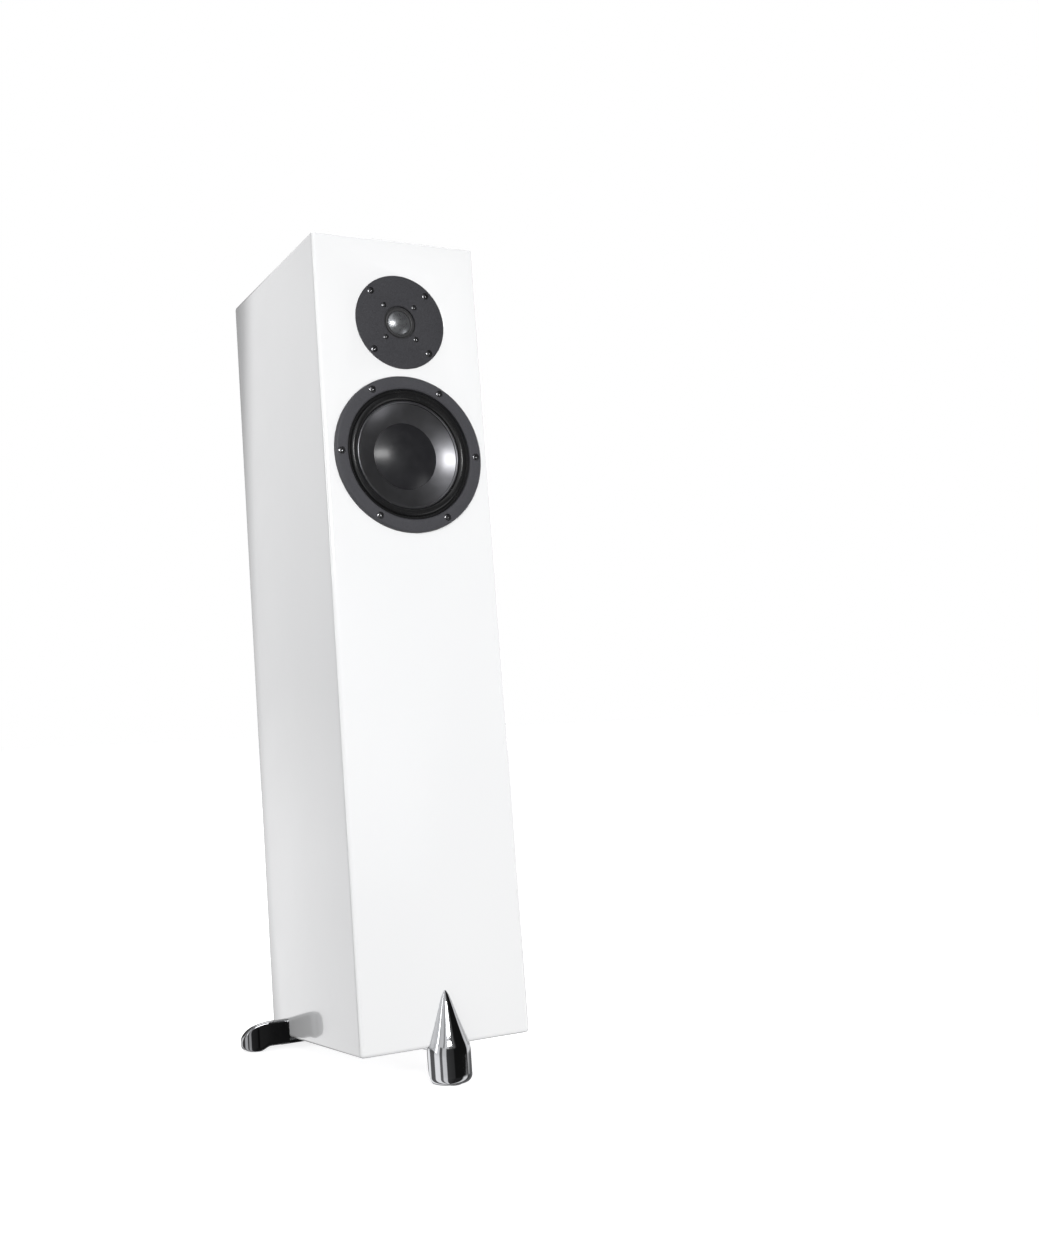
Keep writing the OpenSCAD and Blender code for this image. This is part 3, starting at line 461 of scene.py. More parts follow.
def block(name, low, high):
    ring = [(low[0], low[1]), (high[0], low[1]), (high[0], high[1]), (low[0], high[1])]
    return loft(name, [[(x, y, z) for x, y in ring] for z in (low[2], high[2])])


def slab(name, outline, y0, y1):                   # an (x, z) outline made thick along y
    return loft(name, [[(x, y, z) for x, z in outline] for y in (y0, y1)])


def baked(piece):                                  # the piece with its modifiers worked into its mesh
    bpy.context.view_layer.update()
    solid = bpy.data.meshes.new_from_object(piece.evaluated_get(bpy.context.evaluated_depsgraph_get()))
    piece.modifiers.clear()
    piece.data = solid
    return piece


def bevelled(piece, width, segments=4, angle=40):
    mod = piece.modifiers.new("edge", "BEVEL")
    mod.width, mod.segments, mod.limit_method = width * mm, segments, "ANGLE"
    mod.angle_limit = math.radians(angle)
    return baked(piece)


def moved(piece, matrix):
    piece.data.transform(matrix)
    return piece


def at(x=0.0, y=0.0, z=0.0):
    return Matrix.Translation(Vector((x, y, z)) * mm)


def combined(piece, others, operation="DIFFERENCE"):
    for other in others:
        mod = piece.modifiers.new("cut", "BOOLEAN")
        mod.operation, mod.object, mod.solver = operation, other, "EXACT"
    baked(piece)
    for other in others:
        bpy.data.objects.remove(other)
    tidied(piece.data)
    return piece


def repeated(piece, spots):                        # one mesh with a copy of the piece at each (x, y, z)
    shape = bmesh.new()
    for spot in spots:
        start = len(shape.verts)
        shape.from_mesh(piece.data)
        shape.verts.ensure_lookup_table()
        bmesh.ops.translate(shape, vec=Vector(spot) * mm, verts=shape.verts[start:])
    shape.to_mesh(piece.data)
    shape.free()
    return piece


def ringSpots(count, radius, first=0.0, y=0.0):
    angles = [math.radians(first + 360 * i / count) for i in range(count)]
    return [(radius * math.cos(a), y, radius * math.sin(a)) for a in angles]


def place(piece, body, slot, nodes=(), where=(0, 0, 0), sharp=35):
    # settled at a spot in the cabinet's frame, riding on a body, standing for CAD nodes
    moved(piece, toPart @ at(*where))
    softEdges(piece, sharp)
    if not piece.data.materials:
        piece.data.materials.append(finishes[slot])
    if body:                                       # a piece given no body rides on none
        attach(piece, body)
    if nodes:
        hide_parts(*nodes)
    return piece


cabinetSet = {
    "edge": 4.5,
    "front": 22,
    "wall": 18,
    "gap": 0.2,                                    # around whatever is let into the lacquer
    "ease": 0.35,                                  # on the edge of the tweeter's hole
    "tweeterSeat": (4.3, 38),                      # depth of the seat, and radius of the hole behind it
    "wooferSeat": (3.5, 75.2),
    "hatchRim": 12,
    "past": 5,                                     # how far a cutter reaches outside
}
portSet = {"bore": 25, "flare": 8, "wall": 2.5, "lipWide": 6, "lipThick": 2.5, "collarLong": 18}
tweeterSet = {
    "plateRadius": localBox("tweeter_faceplate")[1].x,
    "plateFront": localBox("tweeter_faceplate")[0].y,
    "plateBack": localBox("tweeter_faceplate")[1].y,
    "well": 18.5,
    "outerScrews": 46.5,
    "innerScrews": 25.7,
    "domeRadius": localBox("tweeter_dome")[1].x,
    "domeBase": localBox("tweeter_dome")[1].y,
    "domeTop": localBox("tweeter_dome")[0].y,
    "domeWall": 0.3,
    "ringWall": 0.25,
}
wooferSet = {
    "flangeRadius": localBox("woofer_basket")[1].x,
    "flangeFront": localBox("woofer_basket")[0].y,
    "flangeBack": 2.5,
    "opening": 72.6,
    "ledge": 1.5,
    "bodyRadius": 74.5,
    # the frame behind its flange, as (radius, depth): down the outside, then back up the inside
    "cage": [(61, 28), (50, 40), (39, 40), (39, 37), (46, 37), (57, 28), (54, 28), (54, 26), (58.2, 26),
             (72.3, 4), (68.5, 4)],
    "window": ((57, 8, -22), (90, 25, 22)),
    "windows": 6,
    "screws": 80,
    "rimDepth": 0.7,
    "thick": 0.8,
    "sag": 0.7,                                    # how far the cone bows from a straight line
    "coneWall": 0.9,
    "beadIn": 1.45,
    "beadHalf": 1.45,
    "beadHigh": 1.3,
    "coneRadius": localBox("woofer_cone")[1].x,
    "capRadius": localBox("woofer_dust_cap")[1].x,
    "capBase": localBox("woofer_dust_cap")[1].y,
    "capTop": localBox("woofer_dust_cap")[0].y,
}


def makeCabinet(p):
    half, deep, high = cabinet["half"], cabinet["deep"], cabinet["high"]
    shell = bevelled(block("cabinetShell", (-half, 0, 0), (half, deep, high)), p["edge"], 5)
    hollow = block("hollow", (p["wall"] - half, p["front"], p["wall"]),
                   (half - p["wall"], deep - p["wall"], high - p["wall"]))
    plateR, flangeR = tweeterSet["plateRadius"] + p["gap"], wooferSet["flangeRadius"] + p["gap"]
    start, through, ease = -p["past"], p["front"] + 2, p["ease"]
    seat, neck = p["tweeterSeat"]
    tweeterHole = lathe("tweeterHole", rounded([
        (0, start), (plateR + 1, start), (plateR + 1, -ease), (plateR, ease, 0.5), (plateR, seat),
        (neck, seat), (neck, through), (0, through)]))
    seat, neck = p["wooferSeat"]
    wooferHole = lathe("wooferHole", [(0, start), (flangeR, start), (flangeR, seat), (neck, seat),
                                      (neck, through), (0, through)])
    port, plate = localBox("port_tube"), localBox("terminal_plate")
    inside, outside, shelf = deep - p["wall"] - 2, deep + p["past"], deep - portSet["lipThick"]
    lip, collar = port[1].x + p["gap"], port[1].x - portSet["lipWide"] + p["gap"] / 2
    portHole = lathe("portHole", [(0, inside), (collar, inside), (collar, shelf), (lip, shelf),
                                  (lip, outside), (0, outside)])
    rim = p["hatchRim"]
    hatch = block("hatch", (plate[0].x + rim, inside, plate[0].z + rim),
                  (plate[1].x - rim, outside, plate[1].z - rim))
    moved(tweeterHole, at(z=tweeterUp))
    moved(wooferHole, at(z=wooferUp))
    moved(portHole, at(z=(port[0].z + port[1].z) / 2))
    combined(shell, [hollow, tweeterHole, wooferHole, portHole, hatch])
    shell.data.materials.append(finishes["lacquer"])
    shell.data.materials.append(finishes["raw_board"])
    inner = p["wall"] * mm - 1e-5
    for face in shell.data.polygons:
        x, y, z = face.center
        if abs(x) < half * mm - inner and inner < y < deep * mm - inner and inner < z < high * mm - inner:
            face.material_index = 1                # bare board where the lacquer doesn't reach
    boards = ["front_baffle", "rear_panel", "left_side_panel", "right_side_panel", "top_panel",
              "bottom_panel"]
    return place(shell, "cabinet", "lacquer", boards)


makeCabinet(cabinetSet)
print("cabinet made")


screwSet = {
    "driver": {"head": 3.4, "shaft": 1.9, "length": 18, "sunk": 0.7, "crown": 0.7, "socket": 1.35},
    "inner": {"head": 2.5, "shaft": 1.45, "length": 7, "sunk": 0.6, "crown": 0.5, "socket": 1.0},
    "plate": {"head": 3.2, "shaft": 1.6, "length": 14, "sunk": -1.8, "crown": 1.0, "socket": 1.3},
}


def screw(name, p):
    top, rim = p["sunk"], p["sunk"] + p["crown"]
    crown = [(p["head"] * math.sin(math.radians(a)), rim - p["crown"] * math.cos(math.radians(a)))
             for a in range(0, 91, 10)]
    head, shaft, long = p["head"], p["shaft"], p["length"]
    skirt, taper, point = rim + 0.25, head - shaft, 0.6
    stem = [(head, skirt), (shaft, skirt + taper), (shaft, long - point), (shaft - point, long), (0, long)]
    body = lathe(name, [(0, crown[0][1])] + crown[1:] + stem, 48)
    key = lathe("key", [(0, top - 1), (p["socket"], top - 1), (p["socket"], rim + 0.6), (0, rim + 1.1)], 6)
    return combined(body, [key])


def screwHole(p, front, depth):                    # a counterbore with a cone under it
    wide = p["head"] + 0.45
    taper = wide - p["shaft"] - 0.1
    floor = front + p["sunk"] + p["crown"] + 0.2
    outline = [(0, front - 1), (wide + 0.5, front - 1), (wide + 0.5, front - 0.2), (wide, front + 0.3),
               (wide, floor), (wide - taper, floor + taper), (wide - taper, depth), (0, depth)]
    return lathe("screwHole", outline, 48)


def makeTweeter(p):
    front, back, well, rim = p["plateFront"], p["plateBack"], p["well"], p["plateRadius"]
    outline = rounded([(well, back), (well, front + 1.1, 0.4), (well + 1.1, front, 0.5), (rim, front, 0.5),
                       (rim, back)], 6)
    plate = lathe("tweeterFaceplate", outline, 256)
    kinds = [("driver", p["outerScrews"], "tweeterOuterScrews", "tweeter_outer_screws"),
             ("inner", p["innerScrews"], "tweeterInnerScrews", "tweeter_inner_screws")]
    holes = []
    for kind, circle, _, _ in kinds:
        for spot in ringSpots(4, circle, 45):
            holes.append(moved(screwHole(screwSet[kind], front, back + 2), at(*spot)))
    combined(plate, holes)
    place(plate, "cabinet", "faceplate_black", ["tweeter_faceplate"], (0, 0, tweeterUp))
    for kind, circle, name, node in kinds:
        screws = repeated(screw(name, screwSet[kind]), ringSpots(4, circle, 45, front))
        place(screws, "cabinet", "screw_steel", [node], (0, 0, tweeterUp))
    radius, base, high = p["domeRadius"], p["domeBase"], p["domeBase"] - p["domeTop"]
    foil = ballCap(radius, base, high, 0, 24) + ballCap(radius, base, high, p["domeWall"], 24)[::-1]
    dome = lathe("tweeterDome", foil, 128)
    place(dome, "tweeter_diaphragm", "dome_metal", ["tweeter_dome"], (0, 0, tweeterUp))
    inner, outer = radius + 0.02, well - 1.6
    hump = (outer - inner) / 2
    low = hump - p["ringWall"]
    roll = archOver(inner + hump, base, hump, hump, 16)
    under = archOver(inner + hump, base + 0.05, low, low, 16)
    outline = roll + [(well - 0.2, base), (well - 0.2, back), (well - 2, back)] + under[::-1]
    stretchyRing("tweeterSurround", outline, 12, "tweeter", inner, outer, base, tweeterUp)


def stretchyRing(name, outline, parts, driver, inner, outer, depth, up):
    # a ring cut in sectors, each its own piece on no body; where each sector meets the outside and the inside is
    # worked out but not used
    step = 360 / parts
    for i in range(parts):
        part = lathe(f"{name}{i + 1}", outline, 20, step * i, step)
        part.data.materials.append(finishes[f"{driver}_ring"])
        place(part, None, "rubber_black", [f"{driver}_surround"] if i == 0 else [], (0, 0, up), 50)
        a = math.radians(step * (i + 0.5))
        reach = outer * math.cos(math.radians(step / 2))
        spots = [Vector((r * math.cos(a), depth, up + r * math.sin(a))) * mm for r in (reach, inner)]
        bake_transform(part)


makeTweeter(tweeterSet)
print("tweeter made")


def makeWoofer(p):
    front, opening, rim, ledge = p["flangeFront"], p["opening"], p["flangeRadius"], p["ledge"]
    shelf, under = p["cage"][-1][0], p["flangeBack"]
    outline = rounded([(rim, front, 3.0), (rim, under), (p["bodyRadius"], under), *p["cage"], (shelf, ledge),
                       (opening, ledge), (opening, front + 1.3, 0.3), (opening + 1.2, front, 0.5)], 8)
    basket = lathe("wooferBasket", outline, 256)
    cuts = [moved(screwHole(screwSet["driver"], front, 8), at(*spot)) for spot in ringSpots(6, p["screws"])]
    for i in range(p["windows"]):
        turn = Matrix.Rotation(math.radians(360 / p["windows"] * i), 4, "Y")
        cuts.append(moved(block("window", *p["window"]), turn))
    combined(basket, cuts)
    place(basket, "cabinet", "frame_paint", ["woofer_basket"], (0, 0, wooferUp))
    screws = repeated(screw("wooferScrews", screwSet["driver"]), ringSpots(6, p["screws"], 0, front))
    place(screws, "cabinet", "screw_steel", ["woofer_screws"], (0, 0, wooferUp))

    edge, cap, base, crown = p["coneRadius"], p["capRadius"], p["capBase"], p["capBase"] - p["capTop"]
    rimDepth, thick, wall = p["rimDepth"], p["thick"], p["coneWall"]
    neck, run, rise = cap + 0.1, edge - 1.8 - cap - 0.1, rimDepth + thick - base
    share = [i / 16 for i in range(17)]
    skin = [(neck + run * t, base + rise * t + p["sag"] * math.sin(math.pi * t)) for t in share]
    back = [(r, y + wall) for r, y in skin]
    lip = [(edge - 0.1, rimDepth + thick), (edge - 0.1, rimDepth + thick + wall)]
    cone = lathe("wooferCone", skin + lip + back[::-1], 256)
    place(cone, "woofer_diaphragm", "cone_black", ["woofer_cone"], (0, 0, wooferUp), 25)

    outside, inside = ballCap(cap, base, crown, 0, 32), ballCap(cap, base, crown, wall, 32)
    dust = lathe("wooferDustCap", outside + [(cap - wall / 2, base)] + inside[-2::-1], 256)
    dust.data.materials.append(finishes["cap_black"])
    place(dust, "woofer_diaphragm", "cone_black", ["woofer_dust_cap"], (0, 0, wooferUp), 60)

    crest, wide, tall = edge - p["beadIn"], p["beadHalf"], p["beadHigh"]
    bead = lathe("coneBead", archOver(crest, rimDepth - 0.02, wide, tall, 16), 256)
    place(bead, "woofer_diaphragm", "cone_black", [], (0, 0, wooferUp), 60)

    inner, outer = edge + 0.1, edge + 8.5
    hump = (outer - inner) / 2
    roll = archOver(inner + hump, rimDepth, hump, hump, 24)
    under = archOver(inner + hump, rimDepth + thick, hump - thick, hump - thick, 24)
    glued = [(opening - 0.2, rimDepth), (opening - 0.2, ledge), (outer - 0.5, ledge)]
    tongue = edge - 3                              # the surround's inner edge lies over the cone
    outline = [(tongue, rimDepth + 0.2), (tongue + 0.4, rimDepth)] + roll + glued + under[::-1] + \
        [(tongue, rimDepth + thick)]
    stretchyRing("wooferSurround", outline, 16, "woofer", inner, outer, rimDepth, wooferUp)


makeWoofer(wooferSet)
print("woofer made")


def makePort(p):
    low, high = localBox("port_tube")
    up, deep = (low.z + high.z) / 2, high.y
    bore, flare, wall = p["bore"], p["flare"], p["wall"]
    turns = [math.radians(a) for a in range(0, 91, 6)]
    mouth = [(bore + flare - flare * math.cos(a), deep - flare + flare * math.sin(a)) for a in turns]
    lip, collar = high.x, high.x - p["lipWide"]
    shelf, end = deep - p["lipThick"], deep - p["collarLong"]
    outline = [(bore + wall, low.y), (bore, low.y)] + mouth + rounded(
        [(lip - 3, deep), (lip, deep, 0.8), (lip, shelf), (collar, shelf), (collar, end), (bore + wall, end)])
    place(lathe("portTube", outline), "cabinet", "port_plastic", ["port_tube"], (0, 0, up))


makePort(portSet)

terminalSet = {
    "corner": 6,
    "postRadius": 4,
    "collarRadius": 8,
    "socketRadius": 2,
    "socketDepth": 14,
    "strapWidth": 12,
    "grips": 18,
    "gripDeep": 0.55,
    "postGap": 0.1,
    "knobGap": 0.06,
    "plateScrewIn": 6,
}
knobNames = {"high_plus": (1, 1), "high_minus": (-1, 1), "low_plus": (1, -1), "low_minus": (-1, -1)}


def roundedRect(w, h, r, steps=6):
    return rounded([(-w / 2, -h / 2, r), (w / 2, -h / 2, r), (w / 2, h / 2, r), (-w / 2, h / 2, r)], steps)


def makeTerminals(p):
    low, high = localBox("terminal_plate")
    centre, y0, y1 = (low.z + high.z) / 2, low.y, high.y
    width, height = high.x - low.x, high.z - low.z
    posts = {name: middle("knob_" + name) for name in knobNames}
    spots = [(c.x, 0, c.z - centre) for c in posts.values()]

    plate = bevelled(slab("terminalPlate", roundedRect(width, height, p["corner"]), y0, y1), 0.9, 3)
    floor = slab("floor", roundedRect(width - 28, height - 12, 8), y1 - 0.8, y1 + 5)
    r, postHole = p["postRadius"], p["postRadius"] + p["postGap"]
    holes = [moved(drill("hole", postHole, y0 - 1, y1 + 1), at(*spot)) for spot in spots]
    acrossX, acrossZ = width / 2 - p["plateScrewIn"], height / 2 - p["plateScrewIn"]
    corners = [(sx * acrossX, 0, sz * acrossZ) for sx in (-1, 1) for sz in (-1, 1)]
    shaftHole, headHole = screwSet["plate"]["shaft"] + 0.1, screwSet["plate"]["head"] + 0.2
    countersink = [(0, y0 - 1), (shaftHole, y0 - 1), (shaftHole, y1 - 1), (headHole, y1 + 0.2),
                   (headHole, y1 + 1), (0, y1 + 1)]
    for spot in corners:
        holes.append(moved(lathe("hole", countersink, 32), at(*spot)))
    combined(plate, [floor] + holes)
    place(plate, "cabinet", "terminal_plastic", ["terminal_plate"], (0, 0, centre))

    bolts = screw("terminalPlateScrews", screwSet["plate"])
    moved(bolts, Matrix.Rotation(math.pi, 4, "Z"))
    repeated(bolts, [(x, y1, z) for x, _, z in corners])
    place(bolts, "cabinet", "screw_steel", ["terminal_plate_screws"], (0, 0, centre))

    inside, end = localBox("terminal_posts")[0].y, localBox("terminal_posts")[1].y
    collar, bore, bottom = p["collarRadius"], p["socketRadius"], end - p["socketDepth"]
    outline = rounded([(0, inside), (r, inside, 0.5), (r, y1), (collar, y1), (collar, y1 + 3, 0.6),
                       (r, y1 + 3), (r, end - 0.4), (r - 0.4, end), (bore + 0.5, end), (bore, end - 0.5),
                       (bore, bottom), (0, bottom - 0.01)], 4)
    pins = repeated(lathe("terminalPosts", outline, 96), spots)
    place(pins, "cabinet", "gold", ["terminal_posts"], (0, 0, centre))

    strapLow, strapHigh = localBox("jumper_straps")
    long, wide = strapHigh.z - strapLow.z, p["strapWidth"]
    drop = (long - wide) / 2
    for side, name in ((-1, "jumperStrapMinus"), (1, "jumperStrapPlus")):
        strap = slab(name, roundedRect(wide, long, wide / 2 - 0.01, 12), strapLow.y, strapHigh.y)
        bevelled(strap, 0.2, 2)
        combined(strap, [moved(drill("hole", postHole, strapLow.y - 1, strapHigh.y + 1), at(z=z))
                         for z in (-drop, drop)])
        place(strap, "cabinet", "gold", ["jumper_straps"] if side > 0 else [],
              (side * posts["high_plus"].x, 0, centre))

    for name, (side, level) in knobNames.items():
        low, high = localBox("knob_" + name)
        washerLow, washerHigh = localBox("washer_" + name)
        radius, start, stop = (high.x - low.x) / 2, low.y, high.y
        spot = (posts[name].x, 0, posts[name].z)

        def grip(r, depth, a):                     # the grips fade out at the knob's two ends
            if r < radius - 1.6:
                return r
            share = min(1, max(0, (depth - start - 1.8) / 1.2))
            wave = max(0, math.cos(a * p["grips"])) ** 2
            return r - p["gripDeep"] * share * wave

        hole = r + p["knobGap"]
        rows = [(radius, start + 1 + (stop - start - 2.5) * k / 12) for k in range(13)]
        outline = [(hole, start), (radius - 1, start), (radius - 0.3, start + 0.3)] + rows + \
            [(radius - 0.4, stop - 0.7), (radius - 1.5, stop), (r + 1.2, stop), (hole, stop - 0.9)]
        colour = "knob_red" if side > 0 else "knob_black"
        title = "".join(word.title() for word in name.split("_"))
        knob = lathe("knob" + title, outline, p["grips"] * 12, radiusAt=grip)
        place(knob, "knob_" + name, colour, ["knob_" + name], spot, 50)
        w0, w1, wr = washerLow.y, washerHigh.y, (washerHigh.x - washerLow.x) / 2
        ring = rounded([(hole, w0, 0.15), (wr, w0, 0.3), (wr, w1, 0.3), (hole, w1, 0.15)], 3)
        place(lathe("washer" + title, ring, 96), "washer_" + name, "washer_metal", ["washer_" + name], spot)


makeTerminals(terminalSet)
print("port and terminals made")


clawSet = {
    "radius": 22.95,
    "tip": localBox("front_foot")[1].z,
    "back": 9.5,
    "backLean": 2,                                 # taken off the back by the first heel height
    "heel": (-20, -34),                            # where the back starts to run in, and where it ends
    "edge": 8,
    "blunt": 0.33,
    "soft": 0.12,
    "pad": 0.8,
    "arm": (22, 70, 7),
    "bolt": 50,
}
hornSet = {
    "reach": localBox("right_foot")[1].x - cabinet["half"],
    "top": 22,
    "tipUp": -3,
    "halfWidth": 16.5,
    "middle": middle("right_foot").y,
    "under": -7,
    "toe": (20, 33),
    "flare": 5.5,
    "fall": 0.2,                                   # how much the top drops towards the back, per millimetre
    "frontCorner": 9.0,
    "backCorner": 3.0,
    "footCorner": 5.0,
    # powers by which each outline holds out and then runs in to the tip
    "topRun": (4.2, 0.47),
    "soleRun": (10, 0.5),
    "widthRun": (7, 0.5),
    "armIn": 52,
    "bolt": 34,
}


def smoothStep(t):
    t = min(1, max(0, t))
    return t * t * (3 - 2 * t)


def runIn(s, powers):                              # from 1 at the wall to 0 at the tip
    return max(0.0, 1 - s ** powers[0]) ** powers[1]


def boltHole(up):                                  # countersunk from below, its axis upright
    hole = lathe("boltHole", [(0, 9), (6.5, 9), (6.5, 7), (3.1, 3.8), (3.1, -2), (0, -2)], 48)
    return moved(moved(hole, Matrix.Rotation(math.radians(-90), 4, "X")), at(z=up))


def flatOnFloor(piece, gap):                       # what would lie under the floor is cut away
    normal = Matrix.Rotation(lean, 3, "X") @ Vector((0, 0, 1))
    spot = Vector((0, 0, floorLine(0) + gap / math.cos(lean))) * mm
    shape = bmesh.new()
    shape.from_mesh(piece.data)
    everything = shape.verts[:] + shape.edges[:] + shape.faces[:]
    cut = bmesh.ops.bisect_plane(shape, geom=everything, plane_co=spot, plane_no=normal, clear_inner=True)
    rim = [e for e in cut["geom_cut"] if isinstance(e, bmesh.types.BMEdge)]
    if rim:
        bmesh.ops.edgeloop_fill(shape, edges=rim)
    shape.to_mesh(piece.data)
    shape.free()
    tidied(piece.data)
    return piece


def makeFrontClaw(p):
    radius, tip, edge = p["radius"], p["tip"], p["edge"]
    shoulder = floorLine(edge - radius) + edge + p["pad"]

    def section(z, r, yBack):
        # the front half circle, a wing on each side behind it, and a straight back
        wing = math.acos(max(-1, min(1, -yBack / r))) - math.pi / 2 if yBack > 0 else 0
        angles = [-90 + 180 * k / 48 for k in range(49)]
        loop = [(r * math.sin(math.radians(a)), -r * math.cos(math.radians(a)), z) for a in angles]
        for k in range(1, 9):
            a = math.pi / 2 + wing * k / 8
            loop.append((r * math.sin(a), -r * math.cos(a), z))
        last = loop[-1]
        loop += [(last[0] * (1 - k / 6), last[1], z) for k in range(1, 12)]
        for k in range(8):
            a = math.pi / 2 + wing * (8 - k) / 8
            loop.append((-r * math.sin(a), -r * math.cos(a), z))
        return loop

    def girth(t):                                  # a blunt point at 0, a soft shoulder at 1
        soft = p["soft"]
        if t > 1 - soft:
            return 1 - max(0, 1 + soft - t) ** 2 / (4 * soft)
        return t + p["blunt"] * t ** 0.5 * (1 - t) ** 3

    def backAt(z):
        bend, end = p["heel"]
        if z > bend:
            return p["back"] - p["backLean"] * z / bend
        return max(0.01, (p["back"] - p["backLean"]) * (z - end) / (bend - end))

    sections = []
    for i in range(57):
        t = ((i + 0.2) / 56.2) ** 1.4
        sections.append(section(tip * (1 - t), radius * girth(t), 0))
    for i in range(17):
        z = shoulder * i / 16
        sections.append(section(z, radius * girth(1 - z / tip), backAt(z)))
    for i in range(1, 13):
        a = math.radians(90 * i / 12)
        z = shoulder - edge * math.sin(a)
        sections.append(section(z, radius - edge + edge * math.cos(a), backAt(z)))
    claw = loft("frontClaw", sections)
    width, long, thick = p["arm"]
    arm = bevelled(block("arm", (-width / 2, 4, -thick), (width / 2, long, 0)), 1.2, 3)
    combined(claw, [arm], "UNION")
    combined(claw, [moved(boltHole(0), at(y=p["bolt"]))])
    flatOnFloor(claw, p["pad"])
    return place(claw, "cabinet", "chrome", ["front_foot"], sharp=32)


def makeSideHorn(p, side, name, node):
    reach, tipUp = p["reach"], p["tipUp"]
    heel, toe = p["toe"]
    floorHere = floorLine(p["middle"])
    sections = []
    for i in range(61):
        s = math.sin(math.pi / 2 * i / 60 * 0.985)
        x = reach * s
        zTop = tipUp + (p["top"] - tipUp) * runIn(s, p["topRun"])
        base = p["under"] + (floorHere - p["under"] - 1) * smoothStep((x - heel) / (toe - heel))
        zBot = tipUp - (tipUp - base) * runIn(s, p["soleRun"])
        w = p["halfWidth"] * runIn(s, p["widthRun"])
        flare = p["flare"] * max(0, 1 - x / toe)   # the front face spreads forwards to the wall
        half = (zTop - zBot) / 2
        loop = []
        for k in range(96):
            a = 2 * math.pi * k / 96
            cx, cz = math.cos(a), math.sin(a)
            # crisp corners to the front, a round shoulder at the back
            corner = p["frontCorner"] if cx < 0 else p["backCorner"] if cz > 0 else p["footCorner"]
            y = w * math.copysign(abs(cx) ** (2 / corner), cx)
            z = (zTop + zBot) / 2 + half * math.copysign(abs(cz) ** (2 / corner), cz)
            loop.append((side * x, y - flare * smoothStep(-cx), z - p["fall"] * (y + w) * smoothStep(cz)))
        sections.append(loop)
    horn = loft(name, sections)
    arm = block("arm", (-p["armIn"], -p["halfWidth"], p["under"]), (9, p["halfWidth"] - 1, -0.02))
    if side < 0:
        moved(arm, Matrix.Scale(-1, 4, (1, 0, 0)))
        tidied(arm.data)
    combined(horn, [bevelled(arm, 1.2, 3)], "UNION")
    combined(horn, [moved(boltHole(0), at(x=-side * p["bolt"]))])
    moved(horn, at(y=p["middle"]))
    flatOnFloor(horn, clawSet["pad"])
    # the darker chrome copy: painted shade over the horn's mirrored light
    horn.data.materials.append(finishes["chrome_side_painted_shade"])
    return place(horn, "cabinet", "chrome", [node], (side * cabinet["half"], 0, 0), 32)


makeFrontClaw(clawSet)
makeSideHorn(hornSet, -1, "leftHorn", "left_foot")
makeSideHorn(hornSet, 1, "rightHorn", "right_foot")
print("feet made")


studio = {
    "floorSize": 12000,
    "ambient": 0.33,
    "floorGlow": 0.82,
    "softboxes": {
        # bearing in degrees: 0 is in front, 90 to the right; distance and height in metres
        "key": {"bearing": -19, "distance": 2.3, "height": 1.5, "size": (0.95, 0.5), "power": 17.5},
        "front": {"bearing": 8, "distance": 2.6, "height": 0.65, "size": (1.2, 1.2), "power": 38,
                  "mirrored": False},
        "left": {"bearing": -92, "distance": 2.0, "height": 0.9, "size": (0.35, 1.8), "power": 8},
        "right": {"bearing": 104, "distance": 2.2, "height": 1.1, "size": (0.5, 1.7), "power": 20},
        "top": {"bearing": 180, "distance": 1.35, "height": 3.2, "size": (2.0, 2.0), "power": 70},
        "rear": {"bearing": 165, "distance": 2.6, "height": 1.9, "size": (1.5, 1.5), "power": 42,
                 "mirrored": False},
    },
    # what polished surfaces mirror: (bearing, brightness) all round
    "surroundings": [(-180, 0.1), (-172, 0.1), (-169, 1.0), (-148, 1.0), (-144, 0.12), (-110, 0.12),
                     (-106, 1.0), (-78, 1.0), (-75, 0.15), (-63, 0.15), (-60, 0.8), (-42, 0.8), (-38, 0.06),
                     (-2, 0.04), (2, 0.01), (80, 0.01), (86, 0.9), (130, 0.9), (135, 0.1), (180, 0.1)],
    # the same, for what is mirrored from higher up
    "sky": [(-180, 0.85), (-152, 0.85), (-146, 0.12), (-120, 0.12), (-112, 0.75), (-92, 0.8), (-89, 0.35),
            (-84, 0.8), (-60, 0.85), (-57, 0.3), (-51, 0.35), (-48, 0.95), (-27, 0.9), (-21, 0.22),
            (-12, 0.3), (-4, 0.1), (4, 0.2), (14, 0.04), (20, 0.01), (88, 0.01), (94, 0.8), (128, 0.85),
            (180, 0.85)],
    "skyFrom": (0.3, 0.38),
    # and from lower down
    "ground": [(-180, 0.3), (-172, 0.3), (-169, 1.0), (-146, 1.0), (-140, 0.12), (-110, 0.12), (-106, 1.0),
               (-78, 1.0), (-75, 0.15), (-63, 0.15), (-60, 0.8), (-42, 0.8), (-38, 0.06), (0, 0.02),
               (40, 0.02), (50, 0.8), (70, 0.8), (78, 0.05), (180, 0.3)],
    "groundFrom": (-0.12, -0.2),
    "floorMirrored": 1.25,
}


def softbox(name, p):
    lamp = bpy.data.lights.new(name, "AREA")
    lamp.shape, lamp.size, lamp.size_y, lamp.energy = "RECTANGLE", p["size"][0], p["size"][1], p["power"]
    piece = bpy.data.objects.new(name, lamp)
    bpy.context.scene.collection.objects.link(piece)
    a = math.radians(p["bearing"])
    spot = Vector((p["distance"] * math.sin(a), -p["distance"] * math.cos(a), p["height"]))
    aim = (Vector((0, 0, 0.5)) - spot).to_track_quat("-Z", "Y")
    piece.matrix_world = Matrix.Translation(spot) @ aim.to_matrix().to_4x4()
    piece.visible_glossy = p.get("mirrored", True)


class Air(Paint):                                  # the same shader kit for the world around the speaker
    def __init__(self, name):
        self.world = bpy.data.worlds.new(name)
        self.world.use_nodes = True
        self.tree = self.world.node_tree
        self.shader = self.tree.nodes["Background"]


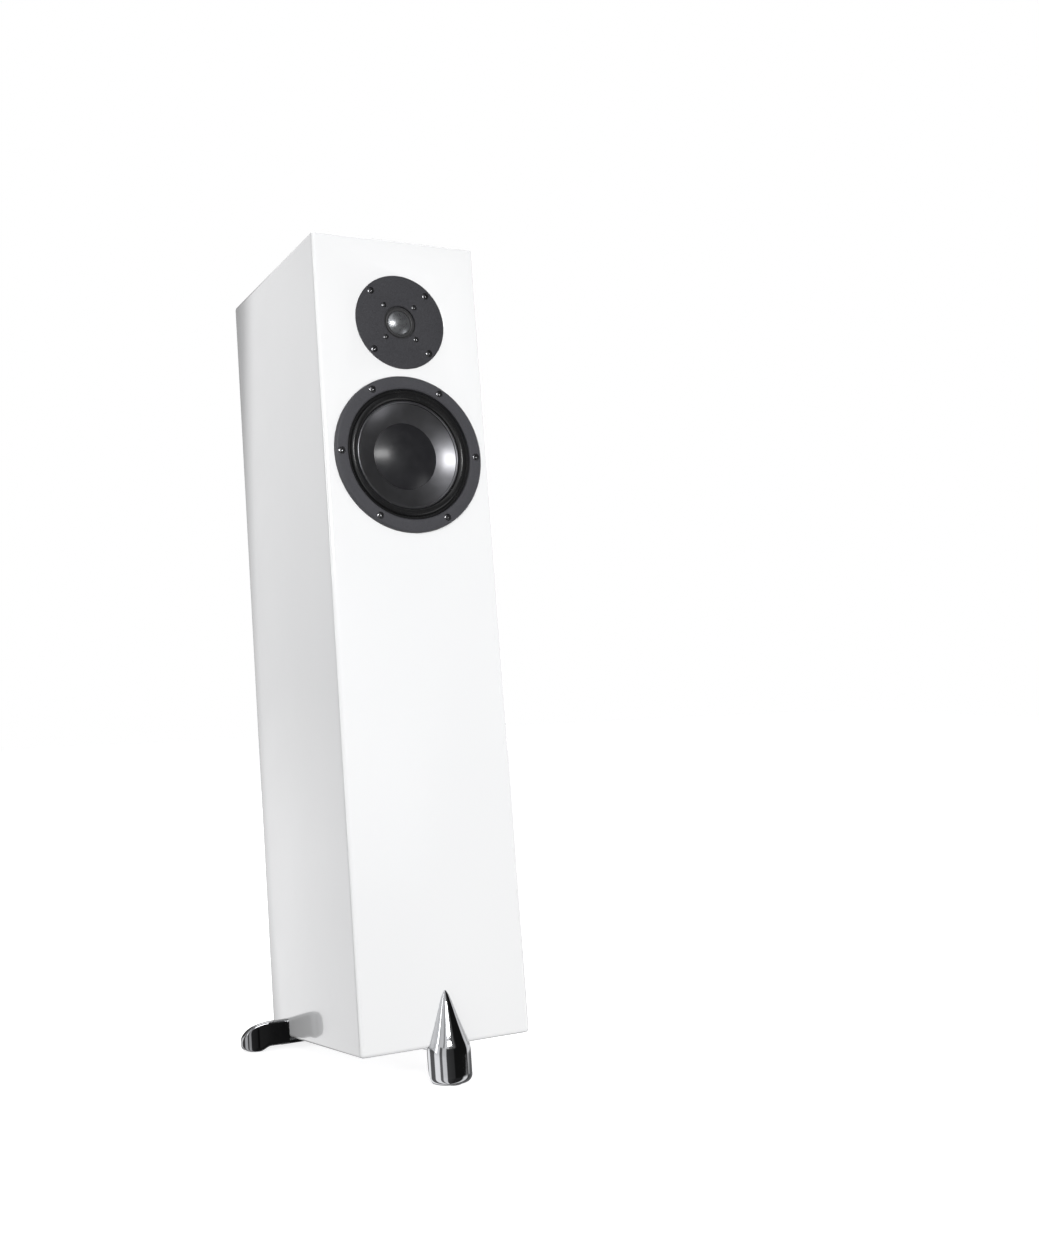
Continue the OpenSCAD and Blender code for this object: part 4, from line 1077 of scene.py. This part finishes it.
def makeAir(p):
    air = Air("studioAir")
    parts = air.add("ShaderNodeSeparateXYZ", {}, {0: air.add("ShaderNodeTexCoord", take="Generated")})
    x, y, z = (Wire(air, parts.socket.node.outputs[i]) for i in range(3))
    turn = x.sum("ARCTAN2", x, y * -1) / (2 * math.pi) + 0.5
    rings = {}
    for name in ("surroundings", "sky", "ground"):
        # a colour ramp holds 32 stops at most
        stops = [((bearing + 180) / 360, (v, v, v * 1.01)) for bearing, v in p[name]]
        rings[name] = air.add("ShaderNodeValToRGB", {"stops": stops}, {"Fac": turn})
    upward, downward = (air.spread(z, 0, 1, *p[name]) for name in ("skyFrom", "groundFrom"))
    mirror = air.blend(downward, air.blend(upward, rings["surroundings"], rings["sky"]), rings["ground"])
    ray = air.add("ShaderNodeLightPath")
    glossy = Wire(air, ray.socket.node.outputs["Is Glossy Ray"])
    ambient = (p["ambient"], p["ambient"], p["ambient"] * 1.01, 1)
    # rays going down meet the white floor, so they come back brighter
    floorward = air.spread(z, p["floorMirrored"], 1, -0.16, -0.03)
    mirrored = air.add("ShaderNodeVectorMath", {"operation": "SCALE"}, {0: mirror, "Scale": floorward})
    seen = air.blend(glossy, ambient, mirrored)
    air.feed("Color", air.blend(ray, seen, (1, 1, 1, 1)))
    bpy.context.scene.world = air.world


def makeStudio(p):
    for name, box in p["softboxes"].items():
        softbox(name + "Softbox", box)
    bpy.context.scene.view_settings.view_transform = "Standard"
    makeAir(p)
    half = p["floorSize"] / 2
    floor = meshFrom("studioFloor", [(-half, -half, 0), (half, -half, 0), (half, half, 0), (-half, half, 0)],
                     [(0, 1, 2, 3)])
    paint = Paint("floorWhite", rough=0.9, **{"Emission Strength": p["floorGlow"]})
    grain = paint.noise(0.4, detail=2)
    paint.feed("Base Color", paint.blend(grain, (0.48, 0.48, 0.485, 1), (0.52, 0.52, 0.525, 1)))
    paint.feed("Emission Color", paint.blend(grain, (0.98, 0.98, 0.985, 1), (1, 1, 1, 1)))
    paint.feed("Roughness", paint.spread(grain, 0.85, 0.95))
    floor.data.materials.append(paint.material)
    floor.visible_glossy = floor.visible_diffuse = False


makeStudio(studio)
print("studio made")
